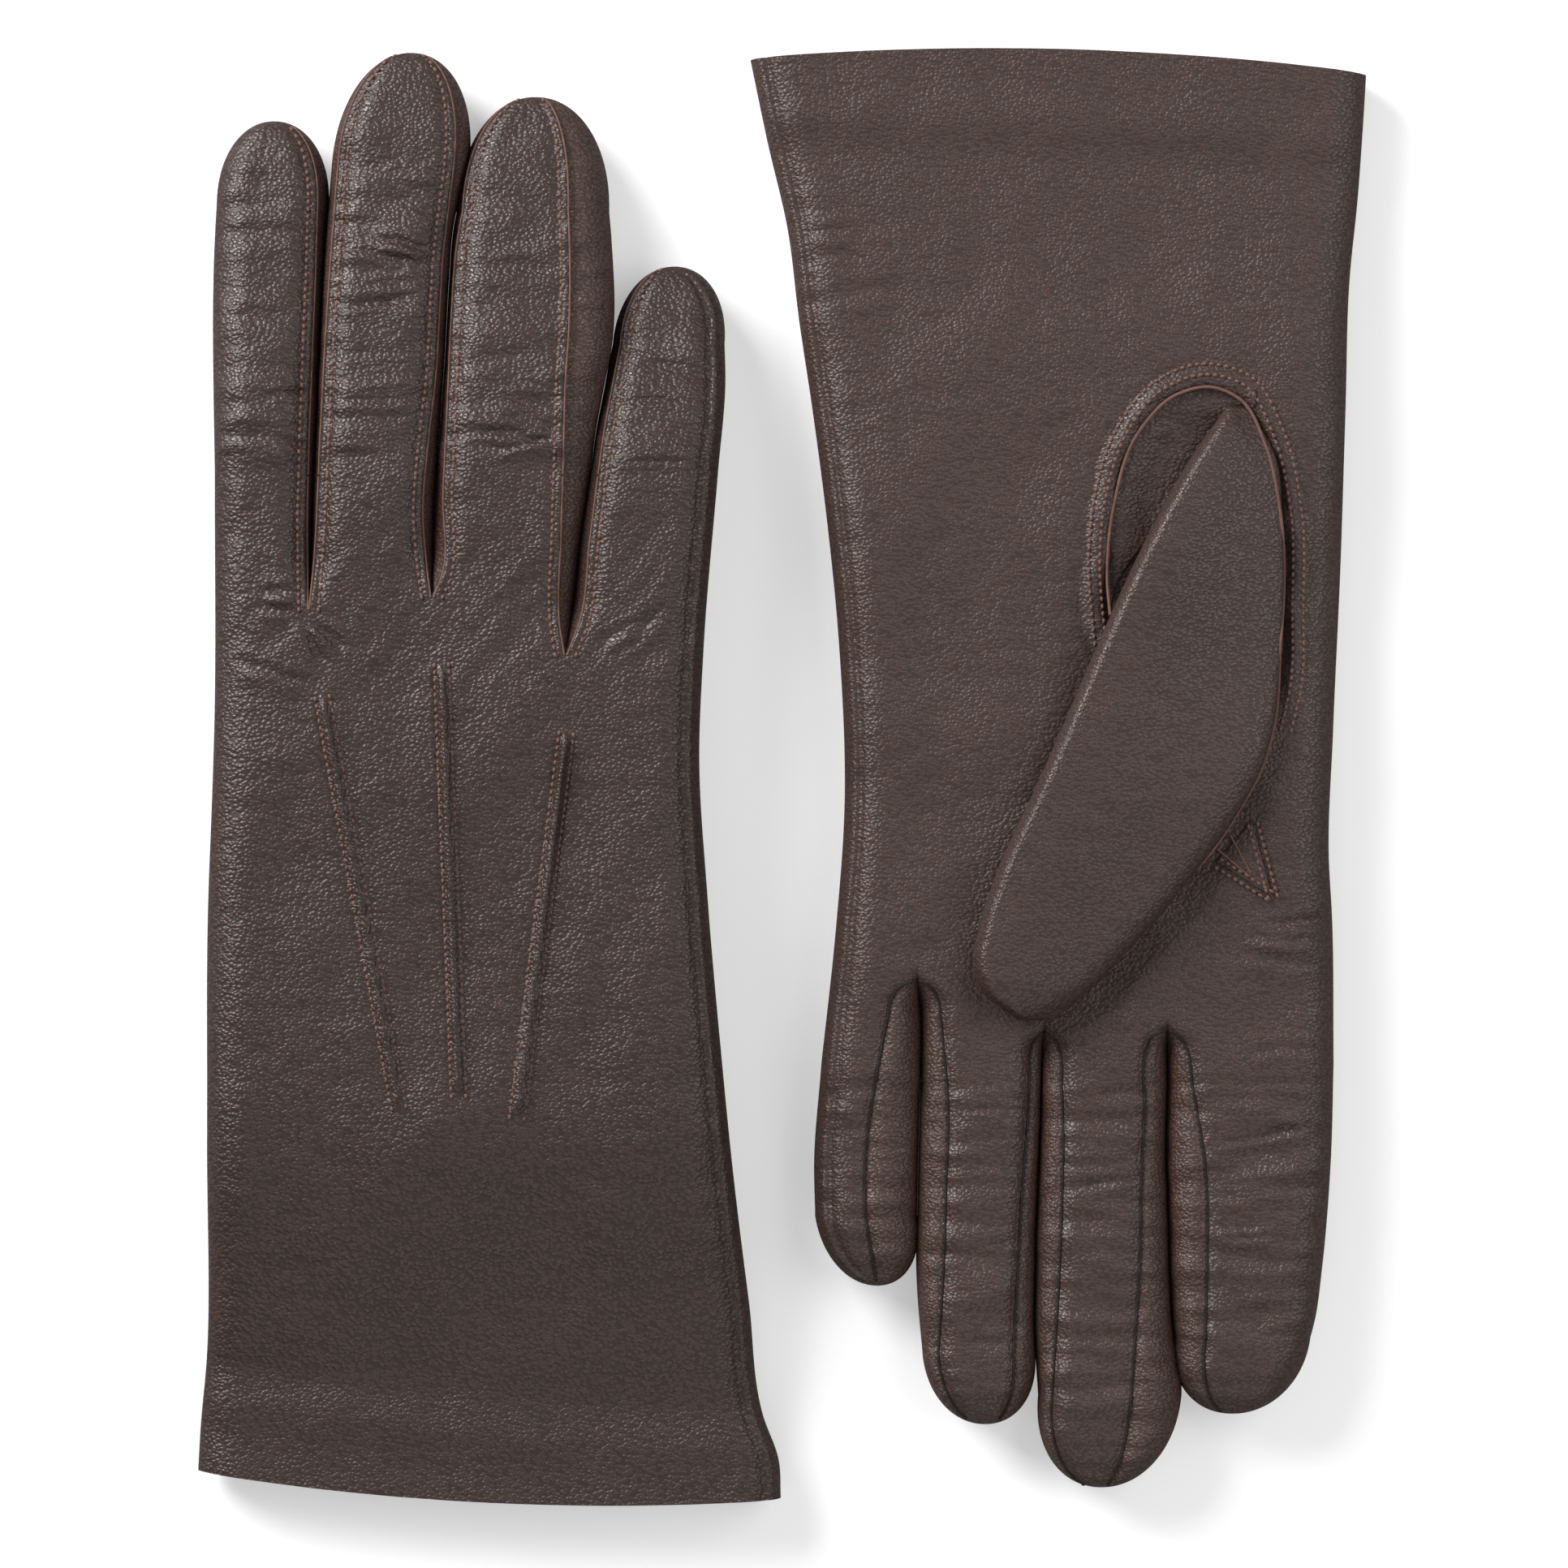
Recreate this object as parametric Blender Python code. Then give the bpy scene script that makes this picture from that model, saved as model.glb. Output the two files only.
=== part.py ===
"""A pair of lined leather gloves laid flat: the right back up, the left palm up with its thumb folded over.

Each glove is drawn in its own plan: x runs from the index side to the little-finger side, y from the cuff
to the fingertips with 0 at the finger roots, and height from the palm to the back.
"""
from collections import namedtuple
from math import cos, pi, sin, sqrt

import bmesh
import bpy

MM = 0.001

# Walls and clearances, in millimetres
LEATHER = 0.9
LINING = 0.7
GAP = 0.3
SEAM_GAP = 0.8
FINGER_GAP = 1.0
THUMB_GAP = 0.4

# Thicknesses of the laid glove and widths of its rounded sides, in millimetres
CUFF_THICKNESS = 11.0
HAND_THICKNESS = 14.0
FINGER_THICKNESS = 14.0
LITTLE_THICKNESS = 13.0
THUMB_THICKNESS = 9.0
HAND_SIDE = 9.0
FINGER_SIDE = 7.0
THUMB_SIDE = 6.0
THUMB_END = 0.6
THUMB_SLANT = 2.0
TIP_LENGTH = 14.0
TIP_END = 0.22
TIP_POWER = 2.2
TIP_CAP = 1.4
HOLE_SEGMENTS = 16

# Turned-in hem, and the bow of the cuff edge
HEM_DEPTH = 15.0
HEM_BOW = 2.5
CUFF_START = -150.0

# Oval thumb hole in the palm, and the triangular quirk at its foot
HOLE_CENTRE = (-22.0, -80.0)
HOLE_WIDTH = 22.0
HOLE_LENGTH = 56.0
QUIRK_POINTS = ((-25.2, -36.2), (-33.2, -43.4), (-35.0, -27.0))

# The right glove rises over the thumb folded beneath its palm, between these places along its length
RISE_START = -180.0
RISE_END = -112.0

# Side seams of the fingers, as shares of a rounded side
SEAM = 1.0 / 6.0
ARC_STEPS = 6
FLAT_STEPS = 2

Edge = namedtuple("Edge", "y index little")
Finger = namedtuple("Finger", "root_index root_little far_y far_index far_little tip_x tip_y thickness")
Glove = namedtuple("Glove", "name origin mirrored hem_index hem_little edges fingers")

THUMB_EDGES = (Edge(-120.0, -31.0, -23.0), Edge(-112.0, -35.0, -19.0), Edge(-92.0, -37.0, -11.0),
               Edge(-75.0, -36.5, -2.0), Edge(-60.0, -35.0, 4.5), Edge(-45.0, -29.5, 11.0),
               Edge(-28.0, -16.5, 18.5), Edge(-16.0, -6.0, 21.5), Edge(-9.0, 1.0, 19.5), Edge(-5.0, 7.0, 14.0))
THUMB_AXIS_X = -37.5

RIGHT = Glove("right", (-61.0, 51.9), False, -185.0, -190.2, (
    Edge(-188.0, -50.2, 60.3), Edge(-172.0, -48.9, 57.0), Edge(-135.0, -47.8, 52.4), Edge(-112.0, -47.6, 50.0),
    Edge(-60.0, -47.3, 46.2), Edge(-38.0, -46.5, 45.6), Edge(0.0, -46.3, 48.7)), {
    "index": Finger(-46.3, -27.3, 48.0, -46.6, -25.0, -35.7, 71.3, FINGER_THICKNESS),
    "middle": Finger(-27.3, -3.0, 60.0, -24.6, 2.5, -9.0, 84.5, FINGER_THICKNESS),
    "ring": Finger(-3.0, 25.0, 50.0, 2.4, 28.9, 15.2, 76.0, FINGER_THICKNESS),
    "little": Finger(25.0, 48.7, 26.0, 29.2, 50.4, 40.8, 43.9, LITTLE_THICKNESS)})

LEFT = Glove("left", (57.6, -51.6), True, -183.8, -187.5, (
    Edge(-186.0, -53.4, 63.2), Edge(-160.0, -51.9, 57.8), Edge(-135.0, -50.1, 54.0), Edge(-98.0, -49.0, 48.8),
    Edge(-60.0, -47.3, 46.0), Edge(-36.0, -46.7, 45.7), Edge(0.0, -47.6, 50.0)), {
    "index": Finger(-47.6, -15.7, 52.0, -44.0, -18.3, -28.0, 70.5, FINGER_THICKNESS),
    "middle": Finger(-15.7, 7.8, 62.0, -18.2, 8.8, -3.1, 84.5, FINGER_THICKNESS),
    "ring": Finger(7.8, 31.7, 55.0, 9.2, 31.5, 19.0, 72.5, FINGER_THICKNESS),
    "little": Finger(31.7, 50.0, 30.0, 32.4, 51.4, 39.5, 46.2, LITTLE_THICKNESS)})

# Panels of each finger, as stretches of its section: the sides run 0 to 1 and 2 to 3, the back 1 to 2,
# the palm 3 to 4
FINGER_PANELS = {
    "index": (("trank", 1.0 - SEAM, 4.0 + SEAM), ("fourchette", SEAM, 1.0 - SEAM)),
    "middle": (("back", 1.0 - SEAM, 2.0 + SEAM), ("palm", 3.0 - SEAM, 4.0 + SEAM),
               ("fourchette_ring_side", SEAM, 1.0 - SEAM), ("fourchette_index_side", 2.0 + SEAM, 3.0 - SEAM)),
    "ring": (("back", 1.0 - SEAM, 2.0 + SEAM), ("palm", 3.0 - SEAM, 4.0 + SEAM),
             ("fourchette_little_side", SEAM, 1.0 - SEAM), ("fourchette_middle_side", 2.0 + SEAM, 3.0 - SEAM)),
    "little": (("back", 0.5, 2.0 + SEAM), ("palm", 3.0 - SEAM, 4.5),
               ("fourchette", 2.0 + SEAM, 3.0 - SEAM))}

FINGER_ROWS = (0.0, 0.5, 1.0)
TIP_ROWS = (0.45, 0.78, 0.94, 1.0)


def smooth(value, start, end):
    """Rise from 0 at start to 1 at end, level at both."""
    share = min(max((value - start) / (end - start), 0.0), 1.0)
    return share * share * (3.0 - 2.0 * share)


def blend(a, b, share):
    return a + (b - a) * share


def material(name, colour, roughness):
    made = bpy.data.materials.new(name)
    made.use_nodes = True
    shader = made.node_tree.nodes["Principled BSDF"]
    shader.inputs["Base Color"].default_value = (*colour, 1.0)
    shader.inputs["Roughness"].default_value = roughness
    shader.inputs["Metallic"].default_value = 0.0
    return made


def edge_at(edges, y):
    """The index and little edges of an outline at y."""
    for low, high in zip(edges, edges[1:]):
        if y <= high.y:
            break
    share = (y - low.y) / (high.y - low.y)
    return blend(low.index, high.index, share), blend(low.little, high.little, share)


def hand_thickness(y):
    return blend(CUFF_THICKNESS, HAND_THICKNESS, smooth(y, RISE_START, RISE_END))


def palm_height(glove, y):
    """Height of the palm of the right glove above the table, over its thumb and down to the fingertips."""
    if glove.mirrored:
        return 0.0
    return (THUMB_THICKNESS + THUMB_GAP) * smooth(y, RISE_START, RISE_END)


def section(centre, half_width, half_thickness, side, place):
    """A point of a flat section with rounded sides; place runs 0 to 4 from the palm round the little side."""
    part, share = divmod(place % 4.0, 1.0)
    side = min(side, half_width)
    flat = half_width - side
    turn = pi * (share - 0.5)
    if part == 0:
        return centre + flat + side * cos(turn), half_thickness * sin(turn)
    if part == 1:
        return centre + flat * (1.0 - 2.0 * share), half_thickness
    if part == 2:
        return centre - flat - side * cos(turn), -half_thickness * sin(turn)
    return centre - flat * (1.0 - 2.0 * share), -half_thickness


def places(start, end):
    """Section places from start to end, with every corner and arc step between them."""
    marks = {start, end}
    for corner in range(int(start) - 1, int(end) + 2):
        steps = ARC_STEPS if corner % 2 == 0 else FLAT_STEPS
        marks.update(corner + step / steps for step in range(steps))
    return sorted(mark for mark in marks if start <= mark <= end)


def to_world(glove, x, y, height):
    """A point of the glove's plan at a height above the table, in metres."""
    sign = -1.0 if glove.mirrored else 1.0
    return ((glove.origin[0] + sign * x) * MM, (glove.origin[1] + sign * y) * MM, height * MM)


def sheet(name, glove, columns, rows, point, wall, ring=False, caps=False):
    """A leather or lining sheet mapped from a grid, thickened inwards; a ring closes on itself."""
    mesh = bmesh.new()
    bmesh.ops.create_grid(mesh, x_segments=len(columns) - 1, y_segments=len(rows) - 1, size=0.5)
    for vert in mesh.verts:
        column = columns[round((0.5 - vert.co.x) * (len(columns) - 1))]
        row = rows[round((vert.co.y + 0.5) * (len(rows) - 1))]
        vert.co = to_world(glove, *point(column, row))
    if ring:
        bmesh.ops.remove_doubles(mesh, verts=mesh.verts, dist=GAP * MM / 100.0)
    if caps:
        ends = [edge for edge in mesh.edges if edge.is_boundary and caps(edge)]
        bmesh.ops.holes_fill(mesh, edges=ends, sides=0)
    if glove.mirrored:
        bmesh.ops.reverse_faces(mesh, faces=mesh.faces)
    data = bpy.data.meshes.new(name)
    mesh.to_mesh(data)
    mesh.free()
    made = bpy.data.objects.new(name, data)
    bpy.context.collection.objects.link(made)
    thicken = made.modifiers.new("wall", "SOLIDIFY")
    thicken.thickness = wall * MM
    thicken.offset = -1.0
    return made


def finish(made, look, joint=None):
    made.data.materials.append(look)
    if joint:
        made.parent = joint
        made.matrix_parent_inverse = joint.matrix_world.inverted()
    return made


def pivot(name, location):
    """An empty on a joint's axis, which its moving pieces hang from."""
    made = bpy.data.objects.new(name, None)
    made.location = location
    bpy.context.collection.objects.link(made)
    bpy.context.view_layer.update()
    return made


def hand_point(glove, inset):
    """Map a section place and a place along the hand to the hand's surface, drawn in by inset."""
    def point(place, y):
        index, little = edge_at(glove.edges, y)
        half = (little - index) / 2.0
        thickness = hand_thickness(y)
        x, level = section((index + little) / 2.0, half - inset, thickness / 2.0 - inset, HAND_SIDE - inset, place)
        across = (x - index) / (2.0 * half)
        edge_y = blend(glove.hem_index, glove.hem_little, across) - HEM_BOW * 4.0 * across * (1.0 - across)
        along = y + (edge_y - glove.edges[0].y) * smooth(y, CUFF_START, glove.edges[0].y)
        middle = palm_height(glove, y) + thickness / 2.0
        return x, along, middle + (-level if glove.mirrored else level)
    return point


def finger_point(glove, finger, inset, start=None, end=None):
    """Map a section place and a row, 0 to 1 along the finger and 1 to 2 round its tip, to its surface.

    A panel's start and end keep half a seam gap from the next panel, also where the section narrows.
    """
    far_y = finger.tip_y - TIP_LENGTH
    seam = SEAM_GAP / 2.0 / (pi * FINGER_SIDE)

    def point(place, row):
        along = min(row, 1.0)
        y = blend(GAP, far_y, along)
        reach = y / finger.far_y
        index = blend(finger.root_index, finger.far_index, reach) + FINGER_GAP / 2.0
        little = blend(finger.root_little, finger.far_little, reach) - FINGER_GAP / 2.0
        centre = (index + little) / 2.0
        narrow = 1.0
        if row > 1.0:
            turn = row - 1.0
            y = blend(far_y, finger.tip_y - inset, turn)
            narrow = blend(TIP_END, 1.0, sqrt(1.0 - turn ** TIP_POWER))
            centre = blend(centre, finger.tip_x, turn)
        half = (little - index) / 2.0 - inset
        thick = finger.thickness / 2.0 - inset
        place += {start: seam / narrow, end: -seam / narrow}.get(place, 0.0)
        x, level = section(centre, half * narrow, thick * narrow, (FINGER_SIDE - inset) * narrow, place)
        middle = palm_height(glove, y) * (1.0 - smooth(y, 0.0, finger.tip_y)) + finger.thickness / 2.0
        return x, y, middle + (-level if glove.mirrored else level)
    return point


def thumb_point(glove, inset):
    """Map a section place and a place along the thumb to its surface, lying against the palm."""
    first = THUMB_EDGES[0].y
    last = THUMB_EDGES[-1].y

    def point(place, y):
        index, little = edge_at(THUMB_EDGES, y)
        root = smooth(y, first - TIP_LENGTH, first + TIP_LENGTH)
        tip = smooth(y, last + TIP_LENGTH / 2.0, last - TIP_LENGTH)
        thick = THUMB_THICKNESS / 2.0 * blend(THUMB_END, 1.0, min(root, tip)) - inset
        half = (little - index) / 2.0
        x, level = section((index + little) / 2.0, half - inset * THUMB_SLANT, thick, THUMB_SIDE - inset, place)
        middle = THUMB_THICKNESS / 2.0
        if glove.mirrored:
            middle = HAND_THICKNESS + THUMB_GAP + THUMB_THICKNESS / 2.0
        draw_in = inset * 2.0 * THUMB_SLANT / (last - first)
        return x, blend(y, (first + last) / 2.0, draw_in), middle + (-level if glove.mirrored else level)
    return point


def hole_cutter(glove, name, low, high):
    """An oval prism over the thumb hole between two heights, which cuts and isn't part of the glove."""
    mesh = bmesh.new()
    bmesh.ops.create_circle(mesh, segments=HOLE_SEGMENTS, radius=1.0, cap_ends=True)
    for vert in mesh.verts:
        x = HOLE_CENTRE[0] + vert.co.x * HOLE_WIDTH / 2.0
        y = HOLE_CENTRE[1] + vert.co.y * HOLE_LENGTH / 2.0
        vert.co = to_world(glove, x, y, low)
    raised = bmesh.ops.extrude_face_region(mesh, geom=mesh.faces[:])
    lifted = [item for item in raised["geom"] if isinstance(item, bmesh.types.BMVert)]
    bmesh.ops.translate(mesh, verts=lifted, vec=(0.0, 0.0, (high - low) * MM))
    bmesh.ops.recalc_face_normals(mesh, faces=mesh.faces)
    data = bpy.data.meshes.new(name)
    mesh.to_mesh(data)
    mesh.free()
    return bpy.data.objects.new(name, data)


def cut_hole(made, glove, low, high):
    cutter = hole_cutter(glove, made.name + "_hole", low, high)
    bpy.context.collection.objects.link(cutter)
    cut = made.modifiers.new("thumb hole", "BOOLEAN")
    cut.operation = "DIFFERENCE"
    cut.solver = "EXACT"
    cut.object = cutter
    bpy.context.view_layer.update()
    carved = bpy.data.meshes.new_from_object(made.evaluated_get(bpy.context.evaluated_depsgraph_get()))
    made.modifiers.clear()
    made.data = carved
    bpy.data.objects.remove(cutter)


def quirk(glove):
    """The triangular gusset, flat on the palm beside the foot of the thumb."""
    seat = HAND_THICKNESS + GAP if glove.mirrored else THUMB_THICKNESS + THUMB_GAP - GAP - LEATHER
    mesh = bmesh.new()
    corners = [mesh.verts.new(to_world(glove, *corner, seat)) for corner in QUIRK_POINTS]
    face = bmesh.ops.contextual_create(mesh, geom=corners)["faces"]
    raised = bmesh.ops.extrude_face_region(mesh, geom=face)
    lifted = [item for item in raised["geom"] if isinstance(item, bmesh.types.BMVert)]
    bmesh.ops.translate(mesh, verts=lifted, vec=(0.0, 0.0, LEATHER * MM))
    bmesh.ops.recalc_face_normals(mesh, faces=mesh.faces)
    data = bpy.data.meshes.new(glove.name + "_quirk")
    mesh.to_mesh(data)
    mesh.free()
    made = bpy.data.objects.new(glove.name + "_quirk", data)
    bpy.context.collection.objects.link(made)
    return made


def build_hand(glove, looks):
    seam = GAP / 2.0 / HAND_SIDE
    edges = [edge.y for edge in glove.edges]
    hem = edges[0]
    inset = LEATHER + GAP
    palm = HAND_THICKNESS if glove.mirrored else THUMB_THICKNESS + THUMB_GAP
    cut = (palm - inset - 2.0 * LINING, palm + GAP / 2.0)
    if not glove.mirrored:
        cut = (palm - GAP / 2.0, palm + inset + 2.0 * LINING)
    trank = sheet(glove.name + "_trank", glove, places(0.5 + seam, 4.5 - seam), edges,
                  hand_point(glove, 0.0), LEATHER)
    cut_hole(trank, glove, *cut)
    finish(trank, looks["leather"])
    band = sheet(glove.name + "_cuff_hem", glove, places(0.0, 4.0), (hem, hem + HEM_DEPTH),
                 hand_point(glove, inset), LEATHER, ring=True)
    finish(band, looks["leather"])
    inner = [hem + HEM_DEPTH + GAP] + [y for y in edges if y > hem + HEM_DEPTH + 2.0 * GAP]
    lining = sheet(glove.name + "_hand_lining", glove, places(0.0, 4.0), inner,
                   hand_point(glove, inset), LINING, ring=True)
    cut_hole(lining, glove, *cut)
    finish(lining, looks["lining"])
    finish(quirk(glove), looks["leather"])


def build_finger(glove, name, looks):
    finger = glove.fingers[name]
    root_x = (finger.root_index + finger.root_little) / 2.0
    top = HAND_THICKNESS if glove.mirrored else palm_height(glove, 0.0)
    joint = pivot(f"{glove.name}_{name}_joint", to_world(glove, root_x, 0.0, top))
    rows = FINGER_ROWS + tuple(1.0 + row for row in TIP_ROWS)
    for panel, start, end in FINGER_PANELS[name]:
        made = sheet(f"{glove.name}_{name}_{panel}", glove, places(start, end), rows,
                     finger_point(glove, finger, 0.0, start, end), LEATHER)
        look = looks["fourchette"] if "fourchette" in panel else looks["leather"]
        finish(made, look, joint)
    inset = LEATHER + GAP
    tip = finger.tip_y - inset - TIP_CAP

    def at_tip(edge):
        sign = -1.0 if glove.mirrored else 1.0
        return all(sign * (vert.co.y / MM - glove.origin[1]) > tip for vert in edge.verts)

    stall = sheet(f"{glove.name}_{name}_lining", glove, places(0.0, 4.0), rows,
                  finger_point(glove, finger, inset), LINING, ring=True, caps=at_tip)
    finish(stall, looks["lining"], joint)


def build_thumb(glove, looks):
    palm = HAND_THICKNESS if glove.mirrored else THUMB_THICKNESS + THUMB_GAP
    joint = pivot(glove.name + "_thumb_joint", to_world(glove, THUMB_AXIS_X, HOLE_CENTRE[1], palm))
    rows = [edge.y for edge in THUMB_EDGES]
    inset = LEATHER + GAP
    reach = THUMB_GAP + inset + 2.0 * LINING
    cut = (palm, palm + reach) if glove.mirrored else (palm - reach, palm)
    for node, draw_in, wall, look in (("thumb", 0.0, LEATHER, "leather"), ("thumb_lining", inset, LINING, "lining")):
        made = sheet(f"{glove.name}_{node}", glove, places(0.0, 4.0), rows, thumb_point(glove, draw_in), wall,
                     ring=True, caps=lambda edge: True)
        cut_hole(made, glove, *cut)
        finish(made, looks[look], joint)


def main():
    for old in list(bpy.data.objects):
        bpy.data.objects.remove(old, do_unlink=True)
    looks = {"leather": material("leather", (0.045, 0.031, 0.027), 0.45),
             "fourchette": material("fourchette leather", (0.055, 0.032, 0.026), 0.6),
             "lining": material("lining", (0.030, 0.022, 0.019), 0.85)}
    for glove in (RIGHT, LEFT):
        build_hand(glove, looks)
        for name in glove.fingers:
            build_finger(glove, name, looks)
        build_thumb(glove, looks)


main()
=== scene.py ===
"""Leather gloves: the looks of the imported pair, as a small add-on with one operator for each group of pieces.

Plans are in millimetres in each glove's own frame: x from the index side to the little-finger side, y from
the cuff to the fingertips with 0 at the finger roots. The right glove lies back up, the left one palm up.
"""
from collections import namedtuple
from math import atan2, pi

import bmesh
import bpy
import numpy as np
from mathutils import Matrix, Vector


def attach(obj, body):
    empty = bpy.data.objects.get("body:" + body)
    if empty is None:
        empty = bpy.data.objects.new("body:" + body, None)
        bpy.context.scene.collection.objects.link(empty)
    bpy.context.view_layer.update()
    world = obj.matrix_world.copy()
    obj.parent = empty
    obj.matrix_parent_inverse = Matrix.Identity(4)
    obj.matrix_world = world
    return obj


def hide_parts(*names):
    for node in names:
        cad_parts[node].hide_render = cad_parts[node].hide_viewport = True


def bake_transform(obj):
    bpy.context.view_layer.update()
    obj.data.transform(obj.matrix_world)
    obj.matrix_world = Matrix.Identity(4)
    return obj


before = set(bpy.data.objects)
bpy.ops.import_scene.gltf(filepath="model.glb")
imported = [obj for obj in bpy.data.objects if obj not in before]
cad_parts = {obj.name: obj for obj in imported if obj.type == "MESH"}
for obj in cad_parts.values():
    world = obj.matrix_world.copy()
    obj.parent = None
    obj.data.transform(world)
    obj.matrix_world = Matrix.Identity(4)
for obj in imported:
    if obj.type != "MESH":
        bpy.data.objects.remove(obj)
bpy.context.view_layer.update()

bl_info = {"name": "Leather gloves", "version": (1, 0, 0), "blender": (4, 5, 0),
           "location": "View3D > Sidebar", "category": "Object",
           "description": "Builds the leather, stitching and lining of a pair of gloves"}

MM = 0.001
TABLE_GAP = 0.1   # lowest point of the leather above the table, mm
BACK = 1
PALM = -1
FINGER_NAMES = ("index", "middle", "ring", "little")

# Thicknesses and heights of the laid gloves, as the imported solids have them
CUFF_THICKNESS = 11.0
HAND_THICKNESS = 14.0
FINGER_THICKNESS = {"index": 14.0, "middle": 14.0, "ring": 14.0, "little": 13.0}
THUMB_THICKNESS = 9.0
THUMB_GAP = 0.4
RISE_START = -180.0
RISE_END = -112.0
LINING_INSET = 1.1
HEM_DEPTH = 15.0
CUFF_START = -150.0
HEM_BOW = 3.2

# Where the hand ends and the separate fingers start, and where a bend at the root would be complete; nothing
# bends
ROOT_Y = 4.0
BEND_Y = 20.0
FINGER_ROUND = 7.0
HAND_ROUND = 8.0
THUMB_ROUND = 6.0
TIP_POWER = 2.1
HIDDEN_SEAM = 1.6
HIDDEN_CROTCH = (-6.0, ROOT_Y)
STITCH_INSET = 1.8

Finger = namedtuple("Finger", "index_edge little_edge tip round_y index_seam little_seam")
Glove = namedtuple("Glove", "name origin sign seen leather hem index_edge little_edge crotches fingers "
                            "creases")

# Outlines and seams as (y, x) points. Neighbouring fingers share the valley between them, which runs on
# into the hand as far as the crotch. Seams are those of the side that shows. Creases are (x, y, x, y,
# width, depth).
RIGHT_VALLEYS = (
    ((-21.9, -28.1), (-8.1, -27.9), (4.0, -27.5), (12.0, -27.1), (32.4, -26.3), (48.6, -25.5),
     (66.0, -24.3)),
    ((-19.5, -5.0), (-4.0, -4.8), (4.0, -4.3), (12.2, -3.7), (28.3, -2.7), (40.5, -2.1), (52.6, -1.1),
     (60.7, 0.9), (70.0, 3.1)),
    ((-30.4, 20.2), (-20.3, 21.6), (-8.1, 23.0), (0.0, 24.2), (4.0, 24.8), (12.1, 25.8), (20.3, 27.3),
     (29.1, 28.9)))
RIGHT = Glove("right", (-61.0, 51.9), 1.0, BACK, "leather", (-184.9, -190.2),
    ((-188, -50.1), (-179, -49.6), (-165, -48.4), (-122, -47.7), (-75, -47.4), (-62, -46.9), (-44, -46.3),
     (4, -46.2)),
    ((-188, 60.8), (-181, 60.4), (-173, 57.4), (-153, 54.8), (-129, 51.9), (-106, 49.6), (-75, 46.9),
     (-50, 45.4), (-29, 46.2), (4, 48.9)),
    ((-22.6, -11.0), (-20.2, -9.0), (-31.2, -19.0)), {
    "index": Finger(((4, -46.2), (48, -46.7), (60, -46.2)), RIGHT_VALLEYS[0], (-35.5, 71.6), 56.0, None,
        ((-21.9, -28.1), (-8.1, -28.5), (8.1, -28.2), (24.3, -27.7), (40.5, -27.2), (56.7, -26.8),
         (65.6, -26.3))),
    "middle": Finger(RIGHT_VALLEYS[0], RIGHT_VALLEYS[1], (-9.5, 84.6), 64.0,
        ((-21.9, -28.1), (-8.0, -27.0), (12.0, -26.1), (32.4, -25.1), (56.7, -23.6), (70.0, -22.6)),
        ((-19.5, -5.0), (-12.2, -6.0), (-4.1, -6.6), (8.1, -5.8), (24.3, -4.1), (32.4, -3.7),
         (47.0, -2.9), (55.1, -2.0), (64.8, -0.9), (70.0, -0.9))),
    "ring": Finger(RIGHT_VALLEYS[1], (*RIGHT_VALLEYS[2], (48.6, 28.7), (60.0, 27.6)), (14.2, 76.2), 54.0,
        ((-19.5, -4.8), (-16.2, -3.4), (0.0, -2.9), (16.2, -2.2), (32.4, -1.6), (48.5, -0.5), (60.0, 1.8)),
        ((-30.4, 20.2), (-24.3, 19.2), (-8.1, 19.5), (8.1, 20.0), (20.3, 20.3), (32.4, 21.0),
         (52.7, 20.8), (60.0, 20.3))),
    "little": Finger((*RIGHT_VALLEYS[2], (35.0, 30.4)), ((4, 48.9), (22, 50.3), (32, 50.0)),
        (40.6, 44.0), 29.0,
        ((-30.4, 20.4), (-24.3, 22.7), (-8.1, 24.8), (0.0, 25.8), (12.1, 27.4), (20.3, 28.8),
         (31.0, 30.7)), None)},
    ((-36.6, 18.6, -27.6, 20.2, 0.7, 0.35), (-38.2, -18.7, -30.1, -17.9, 0.8, 0.5),
     (-34.9, 11.3, -27.6, 8.9, 0.6, 0.25), (-15.5, 48.6, -4.1, 46.6, 0.8, 0.5),
     (-22.0, 47.0, -5.8, 43.7, 0.7, 0.45), (-18.7, 39.7, -5.8, 40.5, 0.7, 0.35),
     (-22.8, 35.6, -9.0, 37.3, 0.6, 0.3), (-16.3, 63.2, -2.5, 64.8, 0.7, 0.35),
     (-17.1, 72.1, -2.5, 72.1, 0.6, 0.25), (-22.8, 17.8, -7.4, 17.8, 0.6, 0.2),
     (1.5, 12.9, 18.5, 9.7, 0.8, 0.5), (7.2, 8.1, 18.5, 11.3, 0.6, 0.35),
     (1.5, 21.9, 18.5, 20.2, 0.6, 0.2), (29.9, 17.8, 44.5, 17.8, 0.5, 0.3),
     (29.9, 6.5, 45.3, 6.5, 0.5, 0.25), (-28.0, -23.5, -21.2, -29.2, 0.9, 0.5),
     (-29.3, -24.3, -25.2, -31.6, 0.8, 0.4), (-38.2, -20.3, -30.9, -21.9, 0.8, 0.5),
     (-43.0, -30.8, -26.8, -35.7, 0.9, 0.35), (29.1, -30.8, 40.4, -19.5, 1.1, 0.35),
     (26.7, -27.6, 34.8, -23.5, 0.8, 0.3)))

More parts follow.
